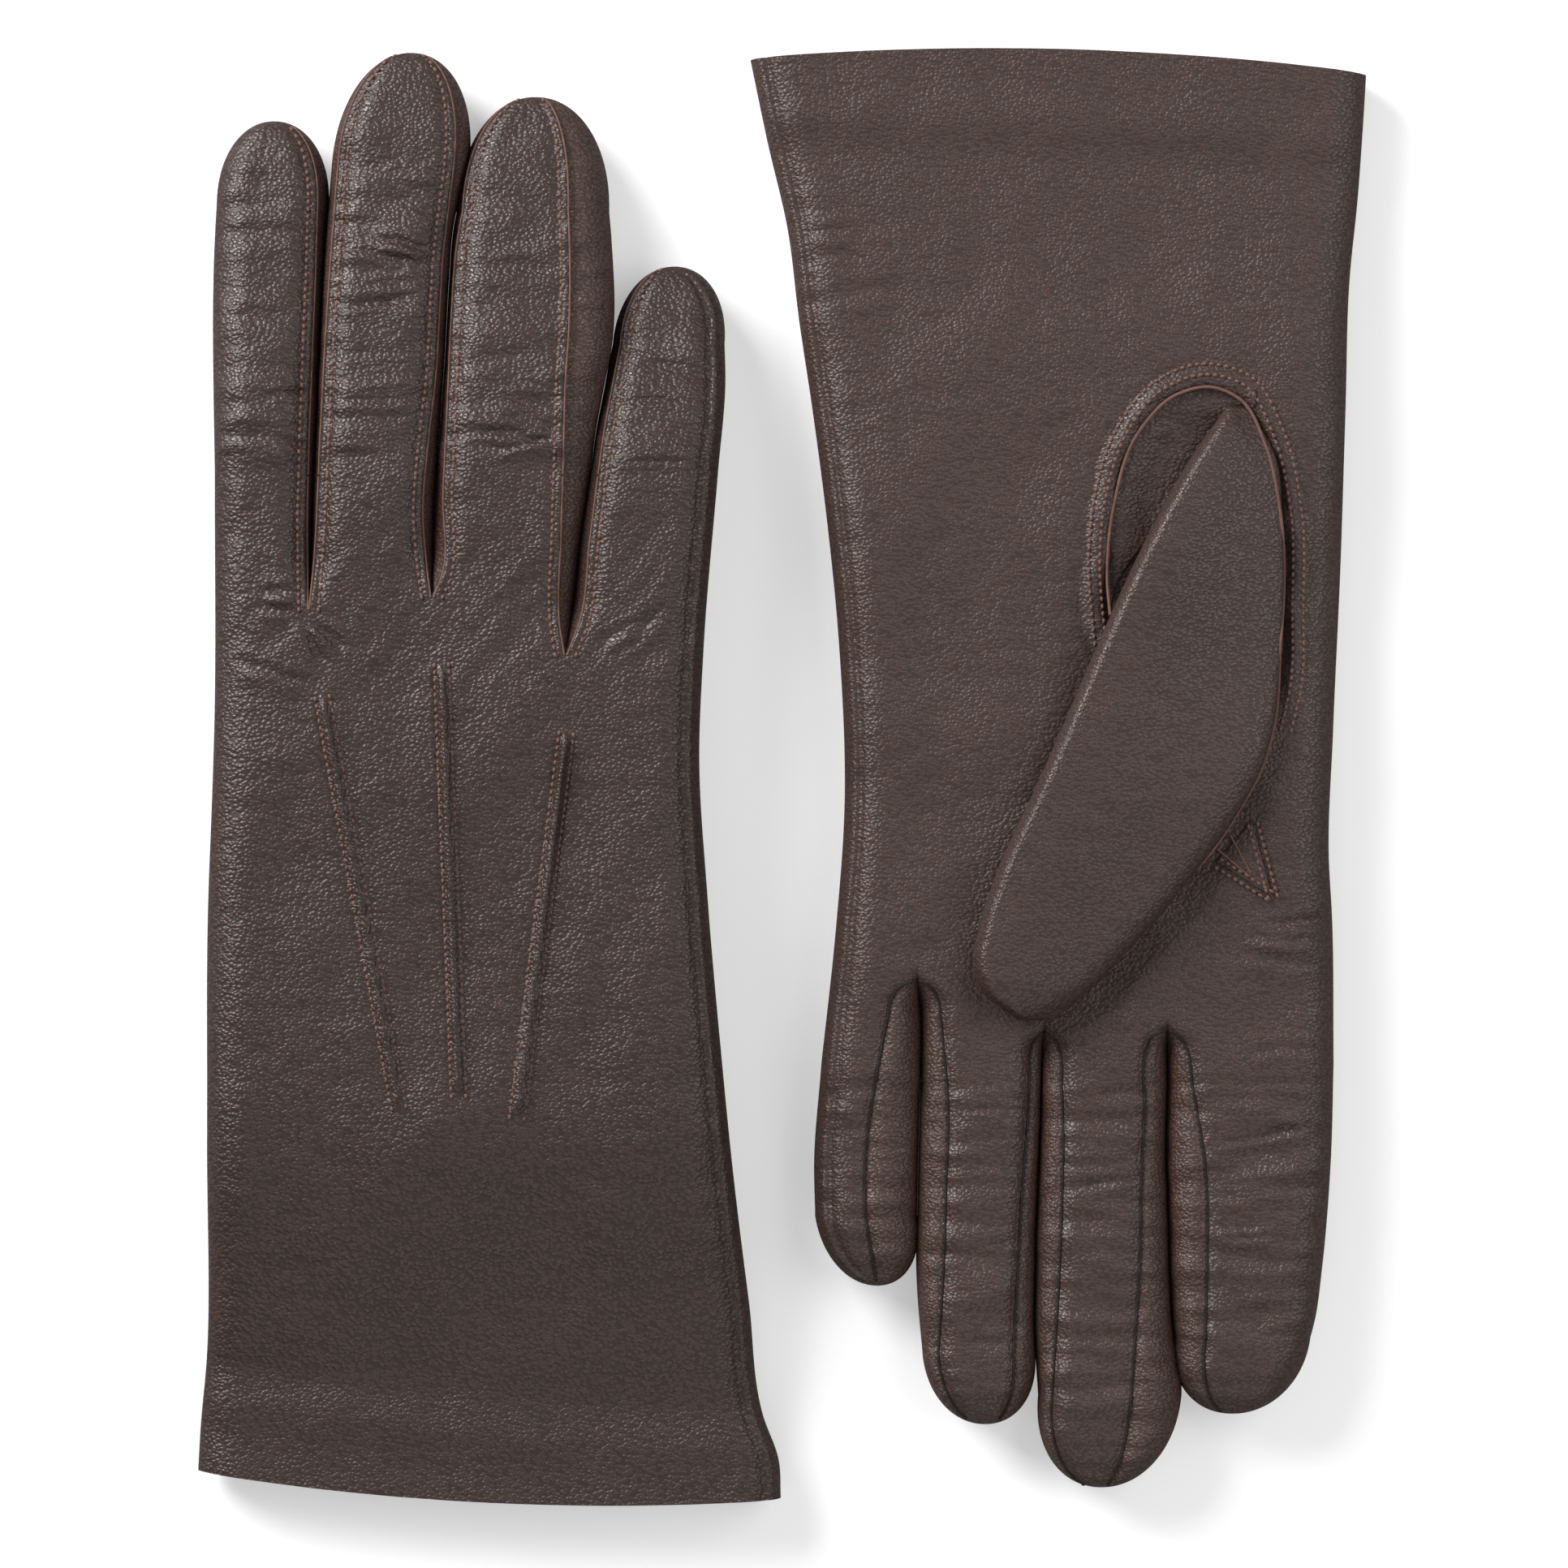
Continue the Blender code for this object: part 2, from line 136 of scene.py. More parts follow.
LEFT_VALLEYS = (
    ((-2.5, -15.4), (4.0, -15.6), (19.6, -15.4), (33.9, -15.8), (44.5, -16.1), (55.2, -16.8),
     (64.0, -18.4)),
    ((-2.0, 8.0), (4.0, 8.2), (12.5, 8.4), (23.2, 8.8), (33.9, 9.3), (44.5, 9.5), (55.2, 9.6), (67.0, 8.9)),
    ((-12.0, 32.0), (-6.7, 31.3), (4.0, 31.2), (12.5, 31.4), (23.2, 31.7), (33.9, 31.9), (41.0, 32.1)))
LEFT = Glove("left", (57.6, -51.6), -1.0, PALM, "smooth leather", (-183.9, -186.8),
    ((-186, -53.6), (-176, -53.0), (-160, -51.9), (-145, -50.4), (-121, -49.6), (-90, -48.6),
     (-59, -47.2), (-35, -46.4), (-24, -47.0), (4, -47.3)),
    ((-186, 63.6), (-171, 60.4), (-155, 56.6), (-137, 54.3), (-121, 51.9), (-98, 48.9), (-75, 46.7),
     (-45, 45.7), (-21, 47.4), (4, 50.1)),
    ((-5.0, 2.0), (-4.5, 2.0), (-14.6, -6.5)), {
    "index": Finger(((4, -47.3), (22, -46.8), (43, -45.1), (52, -43.9), (60, -41.8)), LEFT_VALLEYS[0],
        (-28.0, 70.6), 56.0, None,
        ((-2.5, -15.8), (-1.2, -17.6), (1.1, -19.0), (7.5, -20.0), (13.9, -21.1), (21.0, -22.2),
         (28.2, -22.8), (37.4, -22.9), (56.0, -22.5))),
    "middle": Finger(LEFT_VALLEYS[0], LEFT_VALLEYS[1], (-3.1, 84.6), 67.0,
        ((-2.5, -15.0), (-1.6, -13.0), (0.4, -11.9), (12.5, -11.2), (29.6, -10.5), (38.1, -10.4),
         (55.2, -9.4), (67.0, -8.6)),
        ((-2.0, 7.8), (-0.6, 6.0), (1.6, 5.0), (8.0, 4.7), (16.5, 4.4), (24.3, 4.5), (44.9, 5.2),
         (55.2, 5.8), (67.0, 6.5))),
    "ring": Finger(LEFT_VALLEYS[1], (*LEFT_VALLEYS[2], (47.0, 31.9), (58.8, 30.9)), (19.0, 72.6), 59.0,
        ((-2.0, 8.2), (-0.6, 9.6), (1.3, 10.3), (5.4, 10.5), (12.5, 10.8), (28.2, 12.0), (37.4, 12.5),
         (46.0, 13.0), (59.0, 13.7)),
        ((-12.0, 31.8), (-10.8, 29.8), (-8.9, 28.4), (-4.6, 27.6), (1.1, 27.1), (8.2, 26.4), (15.3, 26.2),
         (26.7, 26.6), (38.1, 26.9), (48.0, 27.4), (59.0, 28.1))),
    "little": Finger(LEFT_VALLEYS[2], ((4, 50.1), (24, 51.5), (32, 51.3)), (39.5, 46.3), 33.0,
        ((-12.0, 32.2), (-11.0, 34.8), (-9.2, 36.4), (-4.6, 37.6), (2.5, 39.0), (11.1, 40.5),
         (18.2, 41.5), (26.7, 41.9), (33.0, 41.7)), None)},
    ((-22.5, 19.6, -44.6, 15.3, 0.8, 0.25), (-23.3, 35.3, -33.9, 34.6, 0.7, 0.3),
     (-23.3, 37.0, -37.5, 36.3, 0.7, 0.25), (3.8, 27.4, -10.4, 25.3, 0.7, 0.2),
     (-30.4, 1.8, -46.0, 0.4, 0.8, 0.25), (-33.1, -22.8, -46.0, -22.8, 0.9, 0.4),
     (-28.8, -20.2, -46.0, -19.4, 0.8, 0.35), (-30.0, -16.6, -44.0, -14.6, 0.9, 0.25),
     (24.5, 13.0, 14.0, 12.0, 0.7, 0.2), (52.0, -150.0, 40.0, -149.0, 0.8, 0.3),
     (54.0, -153.5, 44.0, -154.0, 0.8, 0.3)))
GLOVES = (RIGHT, LEFT)

# Raised points of the back, from knuckle to wrist, as the right glove shows them
POINTS = (((-25.6, -37.5), (-10.9, -116.4)), ((-3.1, -31.3), (0.2, -113.6)), ((20.5, -44.3), (11.0, -118.1)))

# Thumb: edges as (y, x), the oval hole's rim, the seam edge along its index side, and the quirk
THUMB_INDEX = ((-121, -30.0), (-112, -35.5), (-100, -37.0), (-84, -37.2), (-70, -36.4), (-61, -35.4),
               (-52, -33.0), (-44, -28.8), (-32, -20.2), (-18, -8.2), (-10, -0.5), (-4.5, 6.5))
THUMB_LITTLE = ((-121, -27.0), (-112, -20.5), (-96, -11.5), (-75, -1.8), (-60, 4.6), (-47, 10.4), (-32, 17.2),
                (-22, 20.4), (-14, 21.4), (-9, 19.0), (-4.5, 13.0))
HOLE_RIM = ((-1.7, -74.9), (-0.5, -92.2), (-1.7, -104.0), (-6.2, -117.2), (-13.2, -125.4), (-22.5, -128.7),
            (-31.2, -126.2), (-37.4, -115.8), (-40.8, -100.6), (-41.1, -81.8), (-40.8, -68.0), (-38.8, -59.0))
SEAM_EDGE = ((-4.5, -80.6), (-4.0, -88.8), (-5.4, -102.6), (-9.6, -115.2), (-17.2, -122.8), (-23.6, -124.2),
             (-29.0, -122.0), (-33.9, -113.0), (-36.3, -102.6), (-37.4, -88.8), (-36.6, -74.9), (-35.7, -61.1),
             (-33.2, -52.1), (-29.0, -44.5), (-24.8, -37.8), (-20.4, -32.6))
QUIRK = ((-24.5, -34.4), (-31.4, -42.0), (-35.3, -27.6))
QUIRK_SLIT = (((-24.5, -37.0), (-31.0, -31.5)), ((-27.1, -39.7), (-31.2, -32.0)))
WEB_RIM = ((-124.2, -23.6), (-122.8, -17.2), (-115.2, -9.6), (-102.6, -5.4), (-88.8, -4.0), (-78.0, -4.6))
HOLE_CENTRE = (-21.0, -92.0)
THUMB_TURN_Y = -80.0
THUMB_TURN_X = (-37.4, -33.0)
SEAM_EDGE_AVERAGE = 13
WEB_TUCK = 5.0
WEB_TAPER = 30.0
WEB_TURN = ((-15.0, -104.0), (-21.0, -101.0))
THUMB_EDGE_SHARE = 0.42
THUMB_BASE_RISE = 30.0
HOLE_SINK = 1.3

# Meshes: rows and columns of the pieces that don't follow the settings, and how near points are to be joined
THUMB_ROWS = 170
LINING_ROWS = 30
HAND_LINING_COLUMNS = 40
FINGER_LINING_COLUMNS = 16
THUMB_LINING_COLUMNS = 12
THUMB_LINING_INSET = 4.0
FINGER_LINING_SHARE = 0.7
THUMB_LINING_SHARE = 0.55
WEB_ROWS = 90
WEB_COLUMNS = 28
WELD = 2e-6

# Stitches, raised points, creases, cut edges and the palm seams' painted shade lines, in millimetres
STITCH_WIDTH = 0.36
STITCH_HEIGHT = 0.38
STITCH_RAISE = 0.12
STITCH_ROW_GAP = 2.1
POINT_HEIGHT = 1.5
POINT_WIDTH = 0.8
POINT_ROW = 1.35
QUIRK_ROW = 0.9
QUIRK_LIFT = 0.1
QUIRK_THICKNESS = 0.3
QUIRK_EDGE_LIFT = 0.42
QUIRK_STITCH_LIFT = 0.32
WEB_SINK = 0.3
CREASE_DEPTH = 1.5
EDGE_PITCH = 0.8
SEAM_PITCH = 0.7
SEAM_SHIFT = 0.1
LAP_EDGE_RADIUS = 0.19
PALM_GROOVE_SHADE_RADIUS = 0.24
THUMB_EDGE_RADIUS = 0.34
QUIRK_EDGE_RADIUS = 0.22

# Grain of the leather
PEBBLE_STRETCH = (0.85, 1.15, 0.7)
PEBBLE_WARP = 0.0006
CREASE_LEVEL = 0.80
TOP_LEVEL = 0.25
CREASE_DULL = 0.2
WRINKLE_STRETCH = (0.42, 1.1, 1.0)
WRINKLE_SHARE = 0.3
WRINKLE_WEIGHT = 1.0
GRAIN_DEPTH = 0.0003
PATCH_SCALE = 55.0
PATCH_RANGE = 0.25

# Looks: colour, painted crease shade colour, roughness, grain and bump of each leather; two colours and scale
# of each fibre
LEATHERS = {
    "leather": ((0.046, 0.0247, 0.0196), (0.022, 0.0118, 0.0094), 0.34, 1350.0, 0.5),
    "smooth leather": ((0.058, 0.0313, 0.0249), (0.030, 0.0162, 0.0129), 0.36, 1500.0, 0.42),
    "fourchette": ((0.070, 0.0362, 0.0284), (0.034, 0.0176, 0.0138), 0.40, 1600.0, 0.55)}
FIBRES = {
    "edge": ((0.19, 0.096, 0.073), (0.085, 0.044, 0.034), 900.0),
    "thread": ((0.22, 0.115, 0.088), (0.10, 0.052, 0.040), 4000.0),
    # the near-black stitch colour of the palm seams, also used as a dark line of painted shade in each seam's
    # groove
    "dark thread": ((0.020, 0.013, 0.011), (0.010, 0.007, 0.006), 4000.0),
    "lining": ((0.050, 0.034, 0.029), (0.024, 0.016, 0.014), 1400.0)}

# Stage: the table's grey for light and for the camera, its own glow, and each lamp's place, size and power
TABLE_SIZE = 3.0
TABLE_LEVEL = -0.0002
TABLE_LIT = 0.30
TABLE_SEEN = 0.75
TABLE_GLOW = 0.38
WORLD_STRENGTH = 0.18
LAMPS = {"key": ((-0.85, 0.75, 0.6), 0.7, 27.0), "fill": ((0.85, 0.25, 0.8), 1.0, 7.0),
         "front": ((0.1, -0.9, 0.7), 1.0, 3.0)}
CAMERA_PLACE = (0.0004, -0.0025)


def smooth(value, start, end):
    share = np.clip((value - start) / (end - start), 0.0, 1.0)
    return share * share * (3.0 - 2.0 * share)


def bell(value, centre, width):
    return np.exp(-((value - centre) / width) ** 2)


def curve(points, at):
    """A smooth line through (place, value) points, read at the given places."""
    place = np.array([point[0] for point in points], float)
    value = np.array([point[1] for point in points], float)
    slope = np.gradient(value, place)
    at = np.clip(np.asarray(at, float), place[0], place[-1])
    low = np.clip(np.searchsorted(place, at, "right") - 1, 0, len(place) - 2)
    step = place[low + 1] - place[low]
    t = (at - place[low]) / step
    return ((1 + 2 * t) * (1 - t) ** 2 * value[low] + t * (1 - t) ** 2 * step * slope[low]
            + t * t * (3 - 2 * t) * value[low + 1] + t * t * (t - 1) * step * slope[low + 1])


def path(points, pitch):
    """Places every pitch along a smooth line through plan points, each with its direction."""
    points = np.array(points, float)
    reach = np.concatenate([[0.0], np.cumsum(np.linalg.norm(np.diff(points, axis=0), axis=1))])
    at = np.arange(pitch / 2.0, reach[-1], pitch)
    line = np.stack([curve(list(zip(reach, points[:, axis])), at) for axis in (0, 1)], axis=1)
    return line, np.gradient(line, axis=0)


def round_side(distance, radius):
    """Share of the full height at a distance inside an edge with a rounded side."""
    share = np.clip(distance / radius, 0.0, 1.0)
    return np.sqrt(1.0 - (1.0 - share) ** 2)


def ripple(x, y, size_x, size_y, seed):
    """Smooth gradient noise of about -1 to 1 over a plan."""
    x, y = np.broadcast_arrays(np.asarray(x, float) / size_x, np.asarray(y, float) / size_y)
    cell_x, cell_y = np.floor(x), np.floor(y)
    total = 0.0
    for step_x, step_y in ((0.0, 0.0), (0.0, 1.0), (1.0, 0.0), (1.0, 1.0)):
        corner = np.sin((cell_x + step_x) * 12.9898 + (cell_y + step_y) * 78.233 + seed * 37.719) * 43758.5453
        turn = 2.0 * pi * (corner - np.floor(corner))
        off_x, off_y = x - cell_x - step_x, y - cell_y - step_y
        slope = np.cos(turn) * off_x + np.sin(turn) * off_y
        near_x, near_y = (1.0 - smooth(np.abs(off), 0.0, 1.0) for off in (off_x, off_y))
        total = total + slope * near_x * near_y
    return total * 1.5


def folds(lines, x, y):
    """Creases: a groove along each line, with the leather pushed up a little beside it."""
    total = 0.0
    for start_x, start_y, end_x, end_y, width, depth in lines:
        across, along = line_distance(x, y, (start_x, start_y), (end_x, end_y))
        across = across + 0.8 * width * ripple(x, y, 5.0, 5.0, start_x + end_y)
        fade = smooth(along, -0.05, 0.3) * smooth(along, 1.05, 0.7)
        banks = 0.7 * bell(across, 1.9 * width, 1.3 * width) + 0.5 * bell(across, -1.9 * width, 1.3 * width)
        total = total + fade * CREASE_DEPTH * depth * (banks - bell(across, 0.0, width))
    return total


def line_distance(x, y, start, end):
    """Distance from a straight line, and the share of the way along it."""
    run = np.array(end) - np.array(start)
    along = ((x - start[0]) * run[0] + (y - start[1]) * run[1]) / (run @ run)
    across = ((x - start[0]) * run[1] - (y - start[1]) * run[0]) / np.linalg.norm(run)
    return across, along


def palm_height(glove, y):
    if glove.seen == PALM:
        return np.zeros_like(np.asarray(y, float))
    return (THUMB_THICKNESS + THUMB_GAP) * smooth(y, RISE_START, RISE_END)


def hand_edges(glove, y):
    return curve(glove.index_edge, y), curve(glove.little_edge, y)


def finger_edges(finger, y):
    """Both edges of a finger at y, drawn in round its tip, and how much they are drawn in."""
    reach = np.clip((y - finger.round_y) / (finger.tip[1] - finger.round_y), 0.0, 1.0)
    narrow = (1.0 - reach ** TIP_POWER) ** (1.0 / TIP_POWER)
    index = curve(finger.index_edge, np.minimum(y, finger.round_y))
    little = curve(finger.little_edge, np.minimum(y, finger.round_y))
    middle = (index + little) / 2.0 * (1.0 - reach) + finger.tip[0] * reach
    half = (little - index) / 2.0 * narrow
    return middle - half, middle + half, narrow


def seam_place(finger, points, y):
    """The x of a seam of the side that shows; round the tip it keeps its share of the finger's width."""
    index, little, _ = finger_edges(finger, y)
    low = curve(finger.index_edge, finger.round_y)
    high = curve(finger.little_edge, finger.round_y)
    share = (curve(points, finger.round_y) - low) / (high - low)
    return np.where(y > finger.round_y, index + (little - index) * share, curve(points, y))


def seam_relief(glove, inside):
    """Relief by the distance inside a seam: a lapped raw edge if the back shows, else a drawn-in line."""
    if glove.seen == BACK:
        lip = 0.50 * bell(inside, 0.55, 0.55) - 0.65 * smooth(inside, 0.12, -0.45)
        return lip - 0.42 * bell(inside, STITCH_INSET, 0.6)
    return -0.55 * bell(inside, 0.0, 0.75) - 0.40 * bell(inside, 0.0, 2.0)


def side_seam(inside):
    """Relief of the seam down the little-finger side, by the distance inside that edge."""
    return -0.75 * bell(inside, 3.0, 0.55) + 0.45 * bell(inside, 1.3, 1.2)


def stitched_rib(across, along):
    """A raised point of the back, with its two sunk rows of stitches."""
    fade = smooth(along, 0.0, 0.04) * smooth(along, 1.0, 0.96)
    rows = bell(np.abs(across), POINT_ROW, 0.45)
    return fade * (POINT_HEIGHT * bell(across, 0.0, POINT_WIDTH) - 0.5 * rows)


def rim_distance(x, y):
    """Signed distance to the thumb hole's rim, taken from the rim's own centre: positive outside."""
    rim = np.array(HOLE_RIM)
    centre = np.array(HOLE_CENTRE)
    turn = np.arctan2(rim[:, 1] - centre[1], rim[:, 0] - centre[0])
    order = np.argsort(turn)
    size = np.linalg.norm(rim - centre, axis=1)[order]
    angle = np.arctan2(y - centre[1], x - centre[0])
    return np.hypot(x - centre[0], y - centre[1]) - np.interp(angle, turn[order], size, period=2.0 * pi)


def hand_relief(glove, side, x, y, index, little):
    """Seams, points, hem and soft folds of the hand, in millimetres out of the leather."""
    seed = 3.0 if side == BACK else 7.0
    seed += 20.0 if glove.seen == PALM else 0.0
    relief = 1.15 * ripple(x, y, 26.0, 34.0, seed) + 0.36 * ripple(x, y, 9.0, 13.0, seed + 1.0)
    relief += 0.16 * ripple(x + 0.35 * y, y, 6.0, 3.2, seed + 2.0)
    relief *= 0.55 + 0.45 * smooth(y, -185.0, -120.0)
    hem_line = glove.hem[0] + (glove.hem[1] - glove.hem[0]) * (x - index) / (little - index) - HEM_BOW
    rise = y - hem_line - HEM_DEPTH
    relief += 0.50 * bell(rise, 0.0, 4.2) - 0.35 * bell(rise, 7.0, 4.5)
    relief += side_seam(little - x)
    if side == glove.seen:
        relief += folds(glove.creases, x, y)
    if side == BACK:
        for start, end in POINTS:
            relief += stitched_rib(*line_distance(x, y, start, end))
        knuckle = smooth(y, -52.0, -22.0) * smooth(y, 6.0, -10.0)
        relief += 0.34 * knuckle * ripple(x - 0.8 * y, y + 0.3 * x, 5.0, 12.0, seed + 4.0)
        relief -= 0.8 * bell(x, -34.0, 9.0) * bell(y, -66.0, 12.0)
    else:
        rim = rim_distance(x, y)
        upper = smooth(y, -60.0, -74.0)
        relief += upper * (0.75 * bell(rim, -2.4, 1.7) - 0.30 * bell(rim, 0.6, 0.8))
        relief -= (0.7 * smooth(rim, -3.9, -4.9) + HOLE_SINK * smooth(rim, -5.0, -13.0)) * upper
        web = smooth(y, -40.0, -26.0) * smooth(y, -8.0, -18.0) * smooth(x, -28.0, -36.0)
        relief += 0.5 * web * ripple(x, y, 16.0, 3.0, seed + 5.0)
        cuff = smooth(y, -168.0, -152.0) * smooth(y, -132.0, -145.0) * smooth(x, 30.0, 44.0)
        relief += 0.45 * cuff * ripple(x, y, 14.0, 3.0, seed + 6.0)
    return relief


def neighbours(glove):
    """Each pair of fingers with a slot between them."""
    fingers = [glove.fingers[name] for name in FINGER_NAMES]
    return list(zip(fingers, fingers[1:]))


def valley_line(glove, order, y):
    """The x of a valley between two fingers, straight on below its crotch."""
    points = glove.fingers[FINGER_NAMES[order]].little_edge
    return curve(points, np.minimum(y, ROOT_Y))


def crotch_seams(glove, x, y):
    """Seam relief of the finger slots as they run into the hand, on the side that shows."""
    relief = 0.0
    held = np.minimum(y, ROOT_Y)
    for order, (before, after) in enumerate(neighbours(glove)):
        valley = valley_line(glove, order, y)
        low = seam_place(before, before.little_seam, held)
        high = seam_place(after, after.index_seam, held)
        start = before.little_seam[0][0]
        near = smooth(np.abs(x - valley), 12.0, 9.0) * smooth(y, start, start + 2.5)
        relief = relief + near * seam_relief(glove, np.where(x < valley, low - x, x - high))
    return relief


def hand_surface(glove, side, x, y):
    """Height of the hand's leather above the table, on its back or palm side."""
    index, little = hand_edges(glove, y)
    side_round = HAND_ROUND + (FINGER_ROUND - HAND_ROUND) * smooth(y, -30.0, ROOT_Y)
    share = round_side(np.minimum(x - index, little - x), side_round)
    for order, (start, full) in enumerate(glove.crotches):
        if side != glove.seen:
            start, full = HIDDEN_CROTCH
        deep = smooth(y, start, full)
        gap = np.abs(x - valley_line(glove, order, y))
        share = share * (1.0 - deep * (1.0 - round_side(gap, FINGER_ROUND * (0.35 + 0.65 * deep))))
    thickness = CUFF_THICKNESS + (HAND_THICKNESS - CUFF_THICKNESS) * smooth(y, RISE_START, RISE_END)
    relief = hand_relief(glove, side, x, y, index, little)
    if side == glove.seen:
        relief = relief + crotch_seams(glove, x, y)
    relief = relief * np.clip(share * 1.6, 0.0, 1.0)
    return palm_height(glove, y) + thickness / 2.0 + glove.sign * side * (thickness / 2.0 * share + relief)


def finger_seams(glove, finger, side, y):
    """How far each seam lies inside the finger's index and little edges, or None where there is no seam."""
    index, little, narrow = finger_edges(finger, y)
    if side != glove.seen:
        seams = (finger.index_seam, finger.little_seam)
        return [HIDDEN_SEAM * narrow if points else None for points in seams]
    from_index = seam_place(finger, finger.index_seam, y) - index if finger.index_seam else None
    from_little = little - seam_place(finger, finger.little_seam, y) if finger.little_seam else None
    return [from_index, from_little]


def finger_surface(glove, name, side, x, y):
    """Height of a finger's leather above the table, on its back or palm side."""
    finger = glove.fingers[name]
    index, little, narrow = finger_edges(finger, y)
    from_index = x - index
    from_little = little - x
    bend = FINGER_ROUND * np.maximum(narrow, 0.05)
    share = round_side(from_index, bend) * round_side(from_little, bend) * np.maximum(narrow, 0.0) ** 0.8
    seed = 41.0 + 3.0 * FINGER_NAMES.index(name) + (11.0 if glove.seen == PALM else 0.0) + side
    relief = 0.62 * ripple(x, y, 13.0, 3.2, seed) + 0.50 * ripple(x, y, 11.0, 9.0, seed + 1.0)
    relief += 0.20 * ripple(x + 0.5 * y, y, 5.0, 1.7, seed + 2.0)
    if side == glove.seen:
        relief += folds(glove.creases, x, y)
    if name == "little":
        relief += side_seam(from_little)
    fade = smooth(y, ROOT_Y, ROOT_Y + 6.0)
    relief = relief * fade + (1.0 - fade) * hand_relief(glove, side, x, y, *hand_edges(glove, y))
    index_seam, little_seam = finger_seams(glove, finger, side, y)
    show = 1.0 if side == glove.seen else fade
    for inside, seam in ((from_index, index_seam), (from_little, little_seam)):
        if seam is not None:
            relief += show * seam_relief(glove, inside - seam) * smooth(inside, 12.0, 9.0)
    relief = relief * np.clip(share * 1.6, 0.0, 1.0) * np.maximum(narrow, 0.0)
    thickness = FINGER_THICKNESS[name] + (HAND_THICKNESS - FINGER_THICKNESS[name]) * smooth(y, 14.0, ROOT_Y)
    middle = palm_height(glove, y) * (1.0 - smooth(y, ROOT_Y, finger.tip[1])) + thickness / 2.0
    return middle + glove.sign * side * (thickness / 2.0 * share + relief)


def thumb_surface(glove, side, x, y):
    """Height of the thumb's leather; its palm side faces away from the hand and rises to a fold."""
    index = curve(THUMB_INDEX, y)
    little = curve(THUMB_LITTLE, y)
    first, last = THUMB_INDEX[0][0], THUMB_INDEX[-1][0]
    ends = round_side(y - first, 40.0) * round_side(last - y, 9.0)
    share = round_side(x - index, THUMB_ROUND) * round_side(little - x, THUMB_ROUND * 0.55)
    across = (x - index) / np.maximum(little - index, 0.1)
    base = smooth(y, -45.0, -75.0)
    crown = 1.0 - (0.30 + 0.32 * base) * smooth(across, 0.85, 0.0)
    full = (THUMB_THICKNESS - 0.6) * crown
    edge = THUMB_EDGE_SHARE * full * smooth(y, first, first + THUMB_BASE_RISE)
    share = share * ends
    if side == BACK:
        out = 0.2 + edge * (1.0 - share)
    else:
        relief = 0.30 * ripple(x, y, 18.0, 22.0, 90.0) + 0.14 * ripple(x + y, y, 7.0, 4.0, 91.0)
        relief = relief + 0.55 * bell(little - x, 1.5, 0.9)
        out = 0.2 + edge + (full - edge) * share + relief * share
    if glove.seen == PALM:
        return HAND_THICKNESS + THUMB_GAP * 0.5 + out
    return THUMB_THICKNESS - out


def to_world(glove, x, y, z):
    """Scene coordinates in metres; the underside lies flat where it rests on the table."""
    east, north = glove.origin[0] + glove.sign * x, glove.origin[1] + glove.sign * y
    return np.stack(np.broadcast_arrays(east, north, np.maximum(z, TABLE_GAP)), -1) * MM


def hem_shift(glove, x, y):
    """How far the cuff's edge lies beyond its straight line, eased out towards the wrist."""
    index, little = hand_edges(glove, y)
    across = np.clip((x - index) / (little - index), 0.0, 1.0)
    edge = glove.hem[0] + (glove.hem[1] - glove.hem[0]) * across - HEM_BOW * 4.0 * across * (1.0 - across)
    start = glove.index_edge[0][0]
    return (edge - start) * smooth(y, CUFF_START, start)


def add_grid(mesh, places, flip):
    """A create_grid patch moved to an array of places, rows by columns; returns its faces."""
    rows, columns = places.shape[:2]
    made = bmesh.ops.create_grid(mesh, x_segments=columns - 1, y_segments=rows - 1, size=0.5)["verts"]
    faces = list({face for vert in made for face in vert.link_faces})
    for vert in made:
        column = round((vert.co.x + 0.5) * (columns - 1))
        row = round((vert.co.y + 0.5) * (rows - 1))
        vert.co = places[row, column]
    if flip:
        bmesh.ops.reverse_faces(mesh, faces=faces)
    return faces


def spread(count):
    """Shares from 0 to 1, closer together at both ends."""
    return (1.0 - np.cos(np.linspace(0.0, pi, count + 1))) / 2.0


def weld(mesh):
    bmesh.ops.remove_doubles(mesh, verts=mesh.verts, dist=WELD)


def new_object(name, mesh, key, normals=None):
    """An object with the look of that key from a bmesh, which is freed."""
    data = bpy.data.meshes.new(name)
    mesh.to_mesh(data)
    mesh.free()
    made = bpy.data.objects.new(name, data)
    bpy.context.collection.objects.link(made)
    data.materials.append(look(key))
    data.shade_smooth()
    if normals:
        values = np.zeros(len(data.vertices) * 3)
        data.attributes[normals].data.foreach_get("vector", values)
        data.normals_split_custom_set_from_vertices(values.reshape(-1, 3).tolist())
        data.attributes.remove(data.attributes[normals])
    return made


def place_piece(piece, glove, body, slot, *replaced):
    """A piece rides on the hand; a finger's or the thumb's piece only has its place baked into its mesh."""
    if body == "hand":
        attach(piece, f"{glove.name}_hand")
    elif body == "thumb":
        bend_thumb(glove, piece)
    else:
        bend_with(glove, body, piece)
    if replaced:
        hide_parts(*(f"{glove.name}_{part}" for part in replaced))


def set_inputs(tree, made, inputs):
    """Give a node's inputs their values, or join them to other nodes' outputs."""
    for key, value in inputs.items():
        if isinstance(value, bpy.types.NodeSocket):
            tree.links.new(value, made.inputs[key])
        else:
            made.inputs[key].default_value = value


def node(tree, kind, inputs, **values):
    made = tree.nodes.new(kind)
    for key, value in values.items():
        setattr(made, key, value)
    set_inputs(tree, made, inputs)
    return made


def new_material(name):
    made = bpy.data.materials.new(name)
    made.use_nodes = True
    return made, made.node_tree, made.node_tree.nodes["Principled BSDF"]


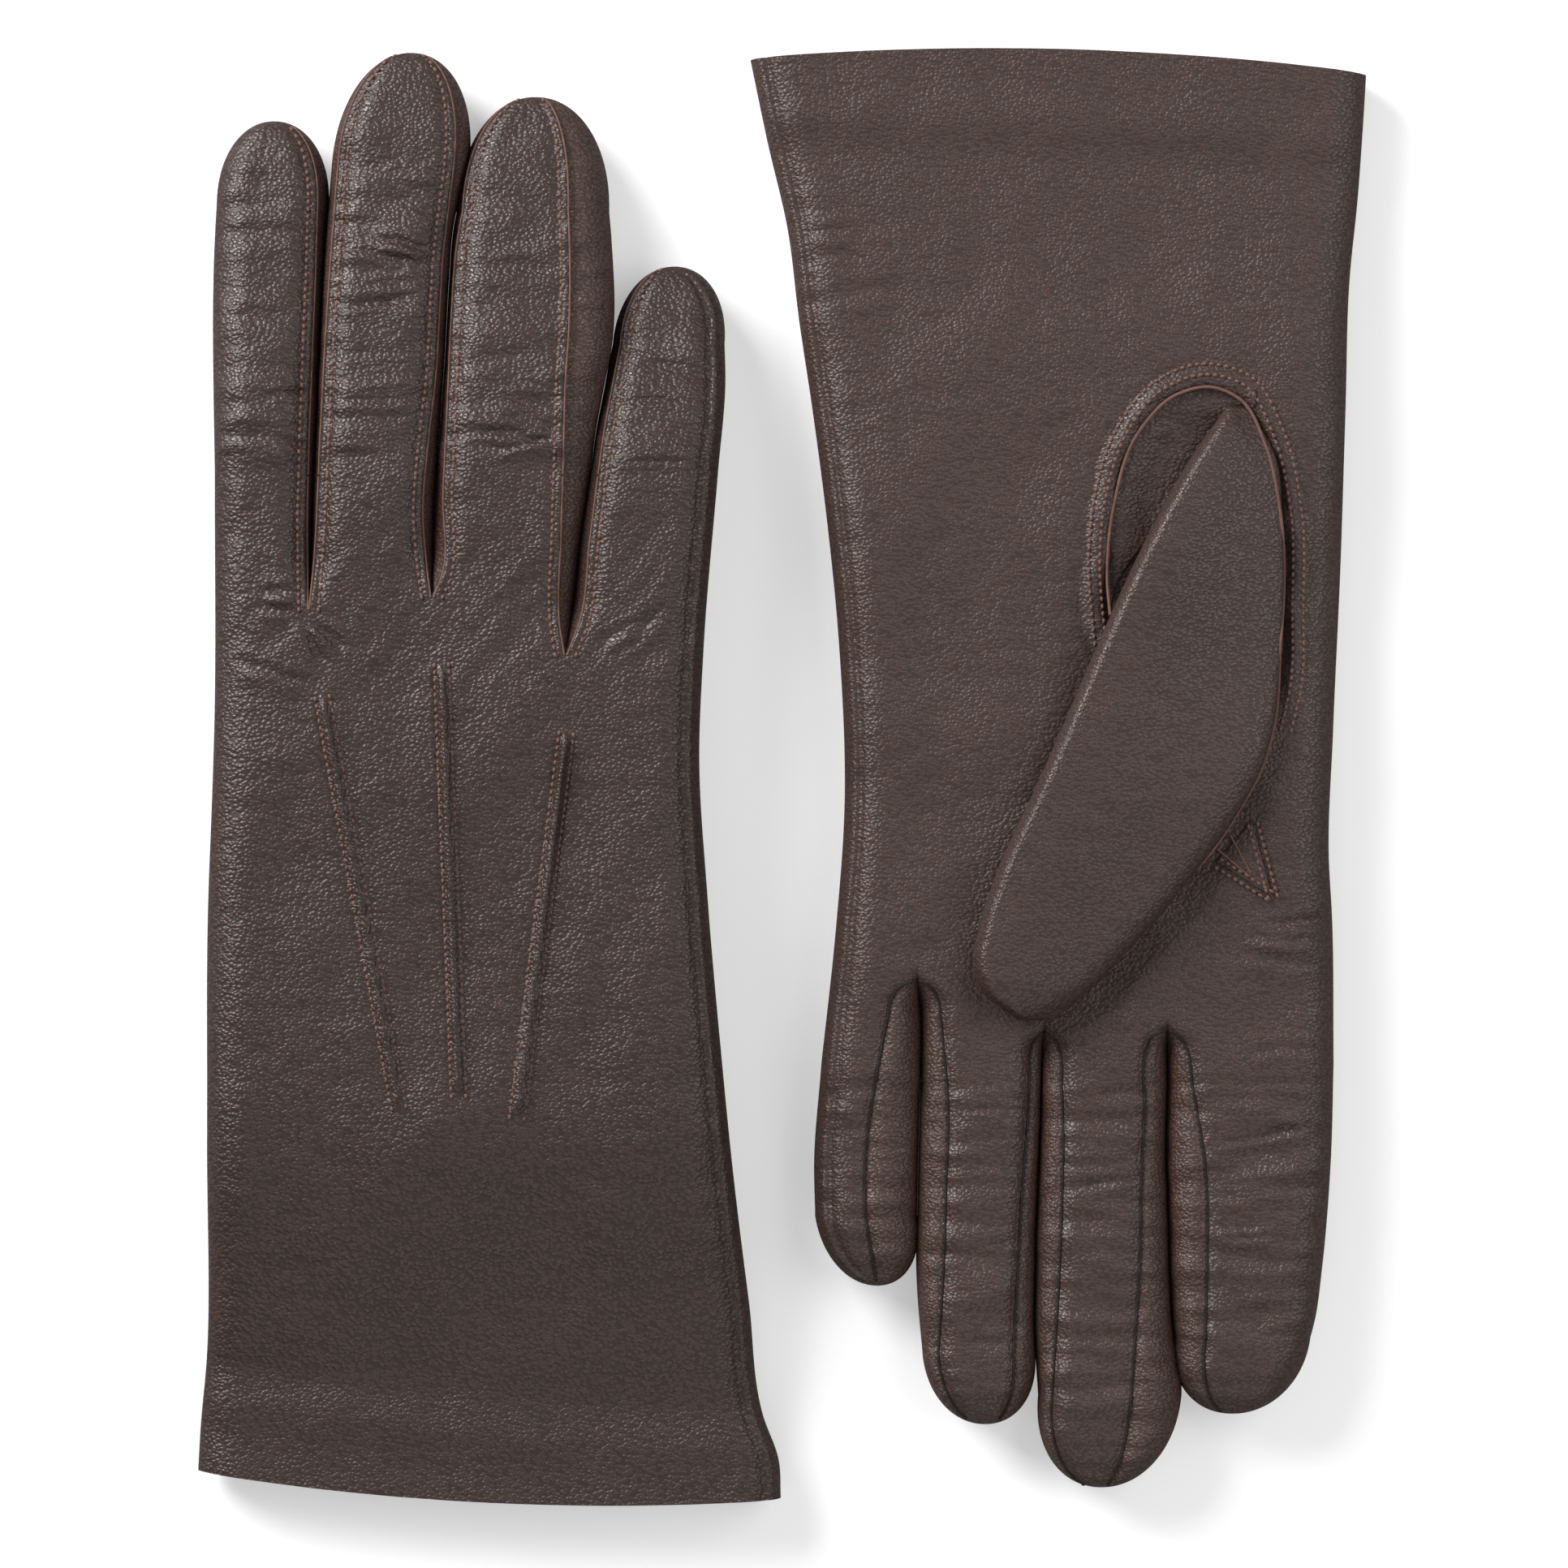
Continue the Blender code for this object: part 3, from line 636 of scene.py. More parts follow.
def leather_look(name, colour, dark, roughness, grain, depth):
    """Grained leather: round pebbles over sideways wrinkles, duller in the creases and darker there with
    painted shade.
    """
    made, tree, shader = new_material(name)
    place = node(tree, "ShaderNodeTexCoord", {}).outputs["Object"]
    squeezed, stretched = (
        node(tree, "ShaderNodeMapping", {"Vector": place, "Scale": scale}).outputs["Vector"]
        for scale in (PEBBLE_STRETCH, WRINKLE_STRETCH))
    warp = node(tree, "ShaderNodeTexNoise", {"Vector": squeezed, "Scale": grain * 0.5})
    bent = node(tree, "ShaderNodeVectorMath", {0: warp.outputs["Color"], 1: (PEBBLE_WARP,) * 3, 2: squeezed},
                operation="MULTIPLY_ADD")
    pebbles = node(tree, "ShaderNodeTexVoronoi", {"Vector": bent.outputs["Vector"], "Scale": grain},
                   feature="F1")
    levels = {"Value": pebbles.outputs["Distance"], "From Min": CREASE_LEVEL, "From Max": TOP_LEVEL}
    domes = node(tree, "ShaderNodeMapRange", levels, interpolation_type="SMOOTHSTEP").outputs["Result"]
    wrinkles = node(tree, "ShaderNodeTexNoise", {"Vector": stretched, "Scale": grain * WRINKLE_SHARE,
                                                 "Detail": 2.5, "Distortion": 0.5})
    height = node(tree, "ShaderNodeMath", {0: wrinkles.outputs["Fac"], 1: WRINKLE_WEIGHT, 2: domes},
                  operation="MULTIPLY_ADD")
    bump = node(tree, "ShaderNodeBump", {"Strength": depth, "Distance": GRAIN_DEPTH,
                                         "Height": height.outputs["Value"]})
    broad = node(tree, "ShaderNodeTexNoise", {"Vector": place, "Scale": PATCH_SCALE, "Detail": 4.0})
    patches = node(tree, "ShaderNodeMapRange", {"Value": broad.outputs["Fac"], "To Min": -PATCH_RANGE,
                                                "To Max": PATCH_RANGE})
    # painted shade in the creases: the colour darkens to the crease colour towards each pebble's edge; the
    # patches are random tone
    shade = node(tree, "ShaderNodeMath", {0: domes, 1: patches.outputs["Result"]}, operation="ADD")
    tint = mixed(tree, shade.outputs["Value"], dark, colour)
    gloss = node(tree, "ShaderNodeMapRange", {"Value": domes, "To Min": roughness + CREASE_DULL,
                                              "To Max": roughness})
    set_inputs(tree, shader, {"Specular IOR Level": 0.5, "Normal": bump.outputs["Normal"], "Base Color": tint,
                              "Roughness": gloss.outputs["Result"]})
    return made


def mixed(tree, share, first, second):
    """A colour between two others."""
    colours = {"Factor": share, "A": (*first, 1.0), "B": (*second, 1.0)}
    return node(tree, "ShaderNodeMix", colours, data_type="RGBA").outputs["Result"]


def fibre_look(name, colour, dark, scale):
    """Twisted thread, cut leather, fine knit and painted seam-groove shade: short noise in colour and bump."""
    made, tree, shader = new_material(name)
    place = node(tree, "ShaderNodeTexCoord", {}).outputs["Object"]
    fibre = node(tree, "ShaderNodeTexNoise", {"Vector": place, "Scale": scale, "Detail": 2.0}).outputs["Fac"]
    bump = node(tree, "ShaderNodeBump", {"Strength": 0.5, "Distance": 0.0002, "Height": fibre})
    set_inputs(tree, shader, {"Roughness": 0.7, "Specular IOR Level": 0.3, "Normal": bump.outputs["Normal"],
                              "Base Color": mixed(tree, fibre, dark, colour)})
    return made


def look(key):
    """A material by its key, made once."""
    name = "glove " + key
    made = bpy.data.materials.get(name)
    if made:
        return made
    return leather_look(name, *LEATHERS[key]) if key in LEATHERS else fibre_look(name, *FIBRES[key])


def root_bend(glove, name):
    """World points between which a finger's pieces would turn from the hand to the finger; nothing turns them.
    """
    finger = glove.fingers[name]
    x = (finger.index_edge[0][1] + finger.little_edge[0][1]) / 2.0
    level = float(palm_height(glove, 0.0)) + HAND_THICKNESS / 2.0
    return [tuple(to_world(glove, x, y, level)) for y in (ROOT_Y, BEND_Y)]


def bend_with(glove, name, piece):
    start, end = root_bend(glove, name)
    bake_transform(piece)


def bend_thumb(glove, piece):
    """Bakes a thumb piece's place into its mesh; the points where it would turn from the hand at its index-side
    seam go unused.
    """
    start, end = [tuple(to_world(glove, x, THUMB_TURN_Y, HAND_THICKNESS)) for x in THUMB_TURN_X]
    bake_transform(piece)


LEATHER_PART, INDEX_SIDE, LITTLE_SIDE, CROTCH_PART, SPARE_PART = range(5)
FOURCHETTES = {
    ("index", LITTLE_SIDE): "fourchette", ("middle", INDEX_SIDE): "fourchette_index_side",
    ("middle", LITTLE_SIDE): "fourchette_ring_side", ("ring", INDEX_SIDE): "fourchette_middle_side",
    ("ring", LITTLE_SIDE): "fourchette_little_side", ("little", INDEX_SIDE): "fourchette"}
LEATHER_NODES = {"index": ("trank",), "middle": ("back", "palm"), "ring": ("back", "palm"),
                 "little": ("back", "palm")}


def hand_grid(glove, name, side, rows, columns):
    """Plan places and heights of the hand's strip below one finger."""
    order = FINGER_NAMES.index(name)
    y = rows[:, None] + np.zeros(columns + 1)[None, :]
    index, little = hand_edges(glove, y)
    low = index if order == 0 else hand_split(glove, order - 1, y, index, little)
    high = little if order == 3 else hand_split(glove, order, y, index, little)
    x = low + (high - low) * spread(columns)[None, :]
    return x, y, hand_surface(glove, side, x, y)


def hand_split(glove, order, y, index, little):
    """The line between two strips of the hand: the valley, then the same share of the width below it."""
    crotch = glove.fingers[FINGER_NAMES[order]].little_edge[0][0]
    held = np.maximum(y, crotch)
    held_index, held_little = hand_edges(glove, held)
    share = (valley_line(glove, order, held) - held_index) / (held_little - held_index)
    return index + (little - index) * share


def finger_grid(glove, name, side, rows, columns):
    """Plan places and heights of one side of a finger."""
    y = rows[:, None] + np.zeros(columns + 1)[None, :]
    index, little, _ = finger_edges(glove.fingers[name], y)
    x = index + (little - index) * spread(columns)[None, :]
    return x, y, finger_surface(glove, name, side, x, y)


def plan_of(glove, faces):
    """Plan places of the centres of faces, in millimetres."""
    centres = np.array([face.calc_center_median() for face in faces]) / MM
    return ((centres[:, axis] - glove.origin[axis]) * glove.sign for axis in (0, 1))


def row_places(glove, name, settings):
    """The rows of the hand's strip below a finger, and those of the finger, closer together round its tip."""
    start = glove.index_edge[0][0]
    finger = glove.fingers[name]
    hand = np.linspace(start, ROOT_Y, round((ROOT_Y - start) / settings.row_step) + 1)
    straight = np.arange(ROOT_Y, finger.round_y - 0.2, settings.row_step * 0.7)
    turn = 1.0 - (1.0 - np.linspace(0.0, 1.0, settings.tip_rows)) ** 2
    return hand, np.concatenate([straight, finger.round_y + (finger.tip[1] - finger.round_y) * turn])


def weld_and_keep_normals(mesh):
    weld(mesh)
    mesh.normal_update()
    store = mesh.verts.layers.float_vector.new("rest_normal")
    for vert in mesh.verts:
        vert[store] = vert.normal


def hand_skin(glove, settings):
    """The hand's leather, with its fourchette ends marked; spare finger rows only shape the normals."""
    mesh = bmesh.new()
    mark = mesh.faces.layers.int.new("piece")
    for name in FINGER_NAMES:
        hand_rows, finger_rows = row_places(glove, name, settings)
        for side in (BACK, PALM):
            flip = glove.sign * side < 0.0
            x, y, z = hand_grid(glove, name, side, hand_rows, settings.columns)
            faces = add_grid(mesh, to_world(glove, x, y + hem_shift(glove, x, y), z), flip)
            if side == glove.seen:
                cx, cy = plan_of(glove, faces)
                inside = np.zeros(len(cx), bool)
                for before, after in neighbours(glove):
                    inside |= ((cy > before.little_seam[0][0])
                               & (cx > seam_place(before, before.little_seam, cy))
                               & (cx < seam_place(after, after.index_seam, cy)))
                for face, slot in zip(faces, inside):
                    face[mark] = CROTCH_PART if slot else LEATHER_PART
            x, y, z = finger_grid(glove, name, side, finger_rows[:3], settings.columns)
            for face in add_grid(mesh, to_world(glove, x, y, z), flip):
                face[mark] = SPARE_PART
    weld_and_keep_normals(mesh)
    return mesh


def finger_skin(glove, name, settings):
    """A finger's leather with its fourchettes marked; spare hand rows only shape the normals."""
    mesh = bmesh.new()
    mark = mesh.faces.layers.int.new("piece")
    finger = glove.fingers[name]
    hand_rows, finger_rows = row_places(glove, name, settings)
    for side in (BACK, PALM):
        flip = glove.sign * side < 0.0
        x, y, z = finger_grid(glove, name, side, finger_rows, settings.columns)
        faces = add_grid(mesh, to_world(glove, x, y, z), flip)
        cx, cy = plan_of(glove, faces)
        index, little, _ = finger_edges(finger, cy)
        index_seam, little_seam = finger_seams(glove, finger, side, cy)
        kind = np.full(len(cx), LEATHER_PART)
        if index_seam is not None:
            kind[cx - index < index_seam] = INDEX_SIDE
        if little_seam is not None:
            kind[little - cx < little_seam] = LITTLE_SIDE
        for face, number in zip(faces, kind):
            face[mark] = int(number)
        x, y, z = hand_grid(glove, name, side, hand_rows[-3:], settings.columns)
        for face in add_grid(mesh, to_world(glove, x, y, z), flip):
            face[mark] = SPARE_PART
    weld_and_keep_normals(mesh)
    return mesh


def take_piece(skin, number, name, key):
    """A copy of the skin's faces with that number, as an object with the whole skin's normals."""
    part = skin.copy()
    mark = part.faces.layers.int["piece"]
    bmesh.ops.delete(part, geom=[face for face in part.faces if face[mark] != number], context="FACES")
    return new_object(name, part, key, normals="rest_normal")


def build_skin(glove, settings):
    """The leather of the hand and fingers, and the fourchettes between the fingers."""
    skin = hand_skin(glove, settings)
    hand = take_piece(skin, LEATHER_PART, f"{glove.name}_hand_leather", glove.leather)
    place_piece(hand, glove, "hand", "leather", "trank")
    slots = take_piece(skin, CROTCH_PART, f"{glove.name}_fourchette_ends", "fourchette")
    place_piece(slots, glove, "hand", "fourchette")
    skin.free()
    for name in FINGER_NAMES:
        skin = finger_skin(glove, name, settings)
        piece = take_piece(skin, LEATHER_PART, f"{glove.name}_{name}_leather", glove.leather)
        place_piece(piece, glove, name, "leather", *(f"{name}_{part}" for part in LEATHER_NODES[name]))
        for side in (INDEX_SIDE, LITTLE_SIDE):
            part = FOURCHETTES.get((name, side))
            if part:
                strip = take_piece(skin, side, f"{glove.name}_{name}_{part}_strip", "fourchette")
                place_piece(strip, glove, name, "fourchette", f"{name}_{part}")
        skin.free()


def build_lining(glove):
    """The turned-in hem and the lining of the hand and fingers, a little inside the leather."""
    start = glove.index_edge[0][0]
    for part, low, high, key in (("cuff_hem", start, start + HEM_DEPTH, "leather"),
                                 ("hand_lining", start + HEM_DEPTH, ROOT_Y, "lining")):
        mesh = bmesh.new()
        y = np.linspace(low, high, LINING_ROWS)[:, None]
        index, little = hand_edges(glove, y)
        edge = LINING_INSET * smooth(y, start, start + 2.0)
        x = index + edge + (little - index - 2.0 * edge) * spread(HAND_LINING_COLUMNS)[None, :]
        y = np.broadcast_to(y, x.shape)
        inset = edge * smooth(np.minimum(x - index, little - x), 0.0, 4.0)
        heights = {side: hand_surface(glove, side, x, y) for side in (BACK, PALM)}
        middle = (heights[BACK] + heights[PALM]) / 2.0
        for side in (BACK, PALM):
            z = heights[side] - glove.sign * side * inset
            z = middle + (z - middle) * (1.0 - 0.9 * smooth(y, -44.0, -33.0))
            add_grid(mesh, to_world(glove, x, y + hem_shift(glove, x, y), z), glove.sign * side > 0.0)
        weld(mesh)
        place_piece(new_object(f"{glove.name}_{part}_inside", mesh, key), glove, "hand", key, part)
    for name in FINGER_NAMES:
        finger = glove.fingers[name]
        mesh = bmesh.new()
        rows = 1.0 - (1.0 - np.linspace(0.0, 1.0, LINING_ROWS)) ** 1.6
        y = (ROOT_Y + (finger.tip[1] - 1.5 - ROOT_Y) * rows)[:, None]
        index, little, narrow = finger_edges(finger, y)
        inset = LINING_INSET * np.maximum(narrow, 0.1)
        x = index + inset + (little - index - 2.0 * inset) * spread(FINGER_LINING_COLUMNS)[None, :]
        y = np.broadcast_to(y, x.shape)
        for side in (BACK, PALM):
            z = finger_surface(glove, name, side, x, y)
            middle = (z + finger_surface(glove, name, -side, x, y)) / 2.0
            z = middle + (z - middle) * FINGER_LINING_SHARE
            add_grid(mesh, to_world(glove, x, y, z), glove.sign * side < 0.0)
        weld(mesh)
        piece = new_object(f"{glove.name}_{name}_lining_stall", mesh, "lining")
        place_piece(piece, glove, name, "lining", f"{name}_lining")


def thumb_grid(glove, side, inset, columns, rows):
    """Plan places and heights of one side of the thumb, drawn in by an inset."""
    first, last = THUMB_INDEX[0][0] + inset, THUMB_INDEX[-1][0] - inset
    y = (first + (last - first) * (1.0 - (1.0 - np.linspace(0.0, 1.0, rows)) ** 1.5))[:, None]
    index = curve(THUMB_INDEX, y) + inset
    little = curve(THUMB_LITTLE, y) - inset
    x = index + (little - index) * spread(columns)[None, :]
    y = np.broadcast_to(y, x.shape)
    return x, y, thumb_surface(glove, side, x, y)


def build_thumb(glove, settings):
    """The thumb's leather and lining, the quirk at its foot and the web inside it."""
    mesh = bmesh.new()
    for side in (BACK, PALM):
        places = to_world(glove, *thumb_grid(glove, side, 0.0, settings.columns, THUMB_ROWS))
        add_grid(mesh, places, glove.sign * side < 0.0)
    weld(mesh)
    bmesh.ops.holes_fill(mesh, edges=[edge for edge in mesh.edges if edge.is_boundary], sides=0)
    piece = new_object(f"{glove.name}_thumb_leather", mesh, glove.leather)
    place_piece(piece, glove, "thumb", "leather", "thumb")
    mesh = bmesh.new()
    for side in (BACK, PALM):
        x, y, z = thumb_grid(glove, side, THUMB_LINING_INSET, THUMB_LINING_COLUMNS, LINING_ROWS)
        level = (thumb_surface(glove, BACK, x, y) + thumb_surface(glove, PALM, x, y)) / 2.0
        z = level + (z - level) * THUMB_LINING_SHARE
        add_grid(mesh, to_world(glove, x, y, z), glove.sign * side < 0.0)
    weld(mesh)
    stall = new_object(f"{glove.name}_thumb_lining_stall", mesh, "lining")
    place_piece(stall, glove, "thumb", "lining", "thumb_lining")
    build_quirk(glove)
    build_web(glove)


def palm_level(glove, x, y):
    return hand_surface(glove, PALM, np.asarray(x, float), np.asarray(y, float))


def build_quirk(glove):
    """The small triangular gusset, lying on the palm with a rolled edge and a slit with two raw edges."""
    mesh = bmesh.new()
    out = -glove.sign
    made = bmesh.ops.create_circle(mesh, cap_ends=True, segments=len(QUIRK), radius=1.0)["verts"]
    for vert, (x, y) in zip(made, QUIRK):
        vert.co = to_world(glove, x, y, palm_level(glove, x, y) + QUIRK_LIFT * out)
    raised = bmesh.ops.extrude_face_region(mesh, geom=mesh.faces[:])
    lifted = [item for item in raised["geom"] if isinstance(item, bmesh.types.BMVert)]
    bmesh.ops.translate(mesh, verts=lifted, vec=(0.0, 0.0, QUIRK_THICKNESS * out * MM))
    bmesh.ops.recalc_face_normals(mesh, faces=mesh.faces)
    bmesh.ops.bevel(mesh, geom=mesh.edges[:], offset=QUIRK_THICKNESS * MM, offset_type="OFFSET", segments=3,
                    profile=0.5, affect="EDGES", material=-1)
    piece = new_object(f"{glove.name}_quirk_leather", mesh, glove.leather)
    place_piece(piece, glove, "hand", "leather", "quirk")
    for number, ends in enumerate(QUIRK_SLIT):
        x, y = path(ends, EDGE_PITCH)[0].T
        places = to_world(glove, x, y, palm_level(glove, x, y) + QUIRK_EDGE_LIFT * out)
        slit = tube_along(f"{glove.name}_quirk_edge_{number}", places, QUIRK_EDGE_RADIUS * MM, "edge")
        place_piece(slit, glove, "hand", "leather")


def build_web(glove):
    """The thumb's inner leather, from the hole's rim to under the fold, with its place baked into its mesh."""
    first, last = WEB_RIM[0][0], WEB_RIM[-1][0]
    y = np.linspace(first, last, WEB_ROWS)[:, None]
    rim = curve(WEB_RIM, y)
    tucked = np.minimum(curve(THUMB_LITTLE, y) - WEB_TUCK, rim - WEB_TUCK)
    tucked = rim + (tucked - rim) * smooth(y, last, last - WEB_TAPER)
    x = tucked + (rim - tucked) * np.linspace(0.0, 1.0, WEB_COLUMNS)[None, :]
    y = np.broadcast_to(y, x.shape)
    mesh = bmesh.new()
    z = palm_level(glove, x, y) - glove.sign * WEB_SINK
    add_grid(mesh, to_world(glove, x, y, z), glove.sign * PALM < 0.0)
    piece = new_object(f"{glove.name}_thumb_web", mesh, glove.leather)
    start, end = [tuple(to_world(glove, *place, HAND_THICKNESS)) for place in WEB_TURN]
    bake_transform(piece)


def add_stitches(mesh, glove, line, run, height, settings, out):
    """Short thread loops sunk a little into the leather along a line."""
    size = (settings.stitch_length * 500.0, STITCH_WIDTH, STITCH_HEIGHT)
    scale = Matrix.Diagonal((*[value * MM for value in size], 1.0))
    for (x, y), (dx, dy), z in zip(line, run, height):
        turn = Matrix.Rotation(atan2(dy * glove.sign, dx * glove.sign), 4, "Z")
        place = Matrix.Translation(Vector(to_world(glove, x, y, z + out * STITCH_RAISE)))
        bmesh.ops.create_uvsphere(mesh, u_segments=8, v_segments=5, radius=1.0, matrix=place @ turn @ scale)


def offset_line(points, distance):
    """A line beside another, to its left."""
    points = np.array(points, float)
    run = np.gradient(points, axis=0)
    run /= np.linalg.norm(run, axis=1)[:, None]
    return points + np.stack([-run[:, 1], run[:, 0]], 1) * distance


def stitch_object(glove, name, mesh, key, body):
    place_piece(new_object(f"{glove.name}_{name}_stitches", mesh, key), glove, body, "leather")


def seam_runs(glove):
    """Each seam of the side that shows: its finger, its points and which way the finger's leather lies."""
    for name in FINGER_NAMES:
        finger = glove.fingers[name]
        if finger.index_seam:
            yield name, finger.index_seam, 1.0
        if finger.little_seam:
            yield name, finger.little_seam, -1.0


def seam_line(glove, name, points, shift, step, in_hand):
    """Plan places and heights along a seam, within the hand or along the finger, shifted into the leather."""
    finger = glove.fingers[name]
    if in_hand:
        y = np.arange(points[0][0] + 0.3, ROOT_Y, step)
        x = seam_place(finger, points, y) + shift
        return x, y, hand_surface(glove, glove.seen, x, y)
    y = np.arange(ROOT_Y, finger.tip[1] - 0.7, step)
    narrow = finger_edges(finger, y)[2]
    x = seam_place(finger, points, y) + shift * np.maximum(narrow, 0.15)
    return x, y, finger_surface(glove, name, glove.seen, x, y)


def build_stitching(glove, settings):
    """The stitches of the finger seams, the raised points, the thumb hole and the quirk."""
    pitch = settings.stitch_pitch * 1000.0
    hand = bmesh.new()
    stitches = {name: bmesh.new() for name in FINGER_NAMES}
    key, inset = ("thread", STITCH_INSET) if glove.seen == BACK else ("dark thread", 0.0)
    for name, points, way in seam_runs(glove):
        for mesh, in_hand in ((hand, True), (stitches[name], False)):
            x, y, z = seam_line(glove, name, points, way * inset, pitch, in_hand)
            line = np.stack([x, y], 1)
            if len(line) > 1:
                add_stitches(mesh, glove, line, np.gradient(line, axis=0), z, settings, 1.0)
    stitch_object(glove, "slot", hand, key, "hand")
    for name, mesh in stitches.items():
        stitch_object(glove, name, mesh, key, name)
    mesh = bmesh.new()
    for ends in POINTS:
        for offset in (-POINT_ROW, POINT_ROW):
            line, run = path(offset_line(ends, offset), pitch)
            height = hand_surface(glove, BACK, line[:, 0], line[:, 1])
            add_stitches(mesh, glove, line, run, height, settings, glove.sign)
    stitch_object(glove, "point", mesh, "thread", "hand")
    mesh = bmesh.new()
    rows = [(HOLE_RIM, offset, 0.0) for offset in (0.0, -STITCH_ROW_GAP)]
    rows += [((corner, QUIRK[2]), offset, QUIRK_STITCH_LIFT)
             for corner in QUIRK[:2] for offset in (QUIRK_ROW, -QUIRK_ROW)]
    for points, offset, lift in rows:
        line, run = path(offset_line(points, offset), pitch)
        height = palm_level(glove, line[:, 0], line[:, 1]) - glove.sign * lift
        add_stitches(mesh, glove, line, run, height, settings, -glove.sign)
    stitch_object(glove, "thumb_hole", mesh, "thread", "hand")


def tube_along(name, places, radius, key):
    """A thin rounded edge along world places, as a mesh."""
    line = bpy.data.curves.new(name, "CURVE")
    line.dimensions = "3D"
    line.bevel_depth = radius
    line.bevel_resolution = 3
    line.use_fill_caps = True
    spline = line.splines.new("POLY")
    spline.points.add(len(places) - 1)
    for point, place in zip(spline.points, places):
        point.co = (*place, 1.0)
    source = bpy.data.objects.new(name, line)
    bpy.context.collection.objects.link(source)
    bpy.context.view_layer.update()
    data = bpy.data.meshes.new_from_object(source.evaluated_get(bpy.context.evaluated_depsgraph_get()))
    bpy.data.objects.remove(source)
    bpy.data.curves.remove(line)
    data.name = name
    data.materials.clear()
    data.materials.append(look(key))
    data.shade_smooth()
    made = bpy.data.objects.new(name, data)
    bpy.context.collection.objects.link(made)
    return made


def build_edges(glove):
    """Cut leather edges by the finger laps and thumb hole; palm up, dark lines of painted shade in the finger
    seams.
    """
    back_up = glove.seen == BACK
    # palm up, each finger seam gets a near-black tube of painted shade in its groove instead of a cut edge
    key, radius, lift = ("edge", LAP_EDGE_RADIUS, 0.05) if back_up else ("dark thread", PALM_GROOVE_SHADE_RADIUS, 0.2)
    for number, (name, points, way) in enumerate(seam_runs(glove)):
        for label, in_hand in (("slot", True), ("finger", False)):
            x, y, z = seam_line(glove, name, points, way * SEAM_SHIFT, SEAM_PITCH, in_hand)
            places = to_world(glove, x, y, z + lift)
            piece = tube_along(f"{glove.name}_{name}_{label}_edge_{number}", places, radius * MM, key)
            place_piece(piece, glove, "hand" if in_hand else name, "leather")
    x, y = path(SEAM_EDGE, EDGE_PITCH)[0].T
    level = THUMB_THICKNESS + THUMB_GAP - 0.5 if back_up else HAND_THICKNESS + 0.5
    over = thumb_surface(glove, PALM, x, y) - 0.1 * glove.sign
    inside = (x > curve(THUMB_INDEX, y)) & (x < curve(THUMB_LITTLE, y))
    upper = np.minimum if back_up else np.maximum
    z = np.pad(np.where(inside, upper(level, over), level), SEAM_EDGE_AVERAGE // 2, mode="edge")
    z = np.convolve(z, np.full(SEAM_EDGE_AVERAGE, 1.0 / SEAM_EDGE_AVERAGE), mode="valid")
    places = to_world(glove, x, y, z)
    piece = tube_along(f"{glove.name}_thumb_seam_edge", places, THUMB_EDGE_RADIUS * MM, "edge")
    place_piece(piece, glove, "hand", "leather")


def table_look():
    """A white table that shows the gloves' shadows and throws little light back at their sides."""
    made, tree, shader = new_material("white table")
    seen = node(tree, "ShaderNodeLightPath", {}).outputs["Is Camera Ray"]
    glow = node(tree, "ShaderNodeMath", {0: seen, 1: TABLE_GLOW}, operation="MULTIPLY")
    set_inputs(tree, shader, {"Roughness": 0.9, "Specular IOR Level": 0.0,
                              "Emission Color": (1.0, 1.0, 1.0, 1.0),
                              "Base Color": mixed(tree, seen, (TABLE_LIT,) * 3, (TABLE_SEEN,) * 3),
                              "Emission Strength": glow.outputs["Value"]})
    return made


class GloveSettings(bpy.types.PropertyGroup):
    """Sizes of the gloves' surface detail."""
    columns: bpy.props.IntProperty(name="Columns", description="Mesh columns across a finger", default=44)
    tip_rows: bpy.props.IntProperty(name="Tip rows", description="Mesh rows round a fingertip", default=26)
    row_step: bpy.props.FloatProperty(name="Row step", description="Mesh rows along a glove, mm",
                                      default=0.75)
    stitch_pitch: bpy.props.FloatProperty(name="Stitch pitch", description="Distance between stitches",
                                          default=0.0014, unit="LENGTH")
    stitch_length: bpy.props.FloatProperty(name="Stitch length", description="Length of one stitch",
                                           default=0.00105, unit="LENGTH")
    camera_height: bpy.props.FloatProperty(name="Camera height", default=1.6, unit="LENGTH",
                                           description="Height of the camera above the table")
    view_width: bpy.props.FloatProperty(name="View width", default=0.29946, unit="LENGTH",
                                        description="Width of the table that the picture shows")


class GLOVES_OT_leather(bpy.types.Operator):
    """Build the leather of both gloves' hands and fingers"""
    bl_idname = "gloves.leather"
    bl_label = "Leather"

    def execute(self, context):
        for glove in GLOVES:
            build_skin(glove, context.scene.glove_settings)
        return {"FINISHED"}


class GLOVES_OT_thumbs(bpy.types.Operator):
    """Build both thumbs, their linings, quirks and webs"""
    bl_idname = "gloves.thumbs"
    bl_label = "Thumbs"

    def execute(self, context):
        for glove in GLOVES:
            build_thumb(glove, context.scene.glove_settings)
        return {"FINISHED"}


class GLOVES_OT_lining(bpy.types.Operator):
    """Build the turned-in hems and the linings"""
    bl_idname = "gloves.lining"
    bl_label = "Lining"

    def execute(self, context):
        for glove in GLOVES:
            build_lining(glove)
        return {"FINISHED"}


class GLOVES_OT_stitching(bpy.types.Operator):
    """Build the stitches, the cut leather edges and the palm seams' dark lines of painted shade"""
    bl_idname = "gloves.stitching"
    bl_label = "Stitching"

    def execute(self, context):
        for glove in GLOVES:
            build_stitching(glove, context.scene.glove_settings)
            build_edges(glove)
        return {"FINISHED"}


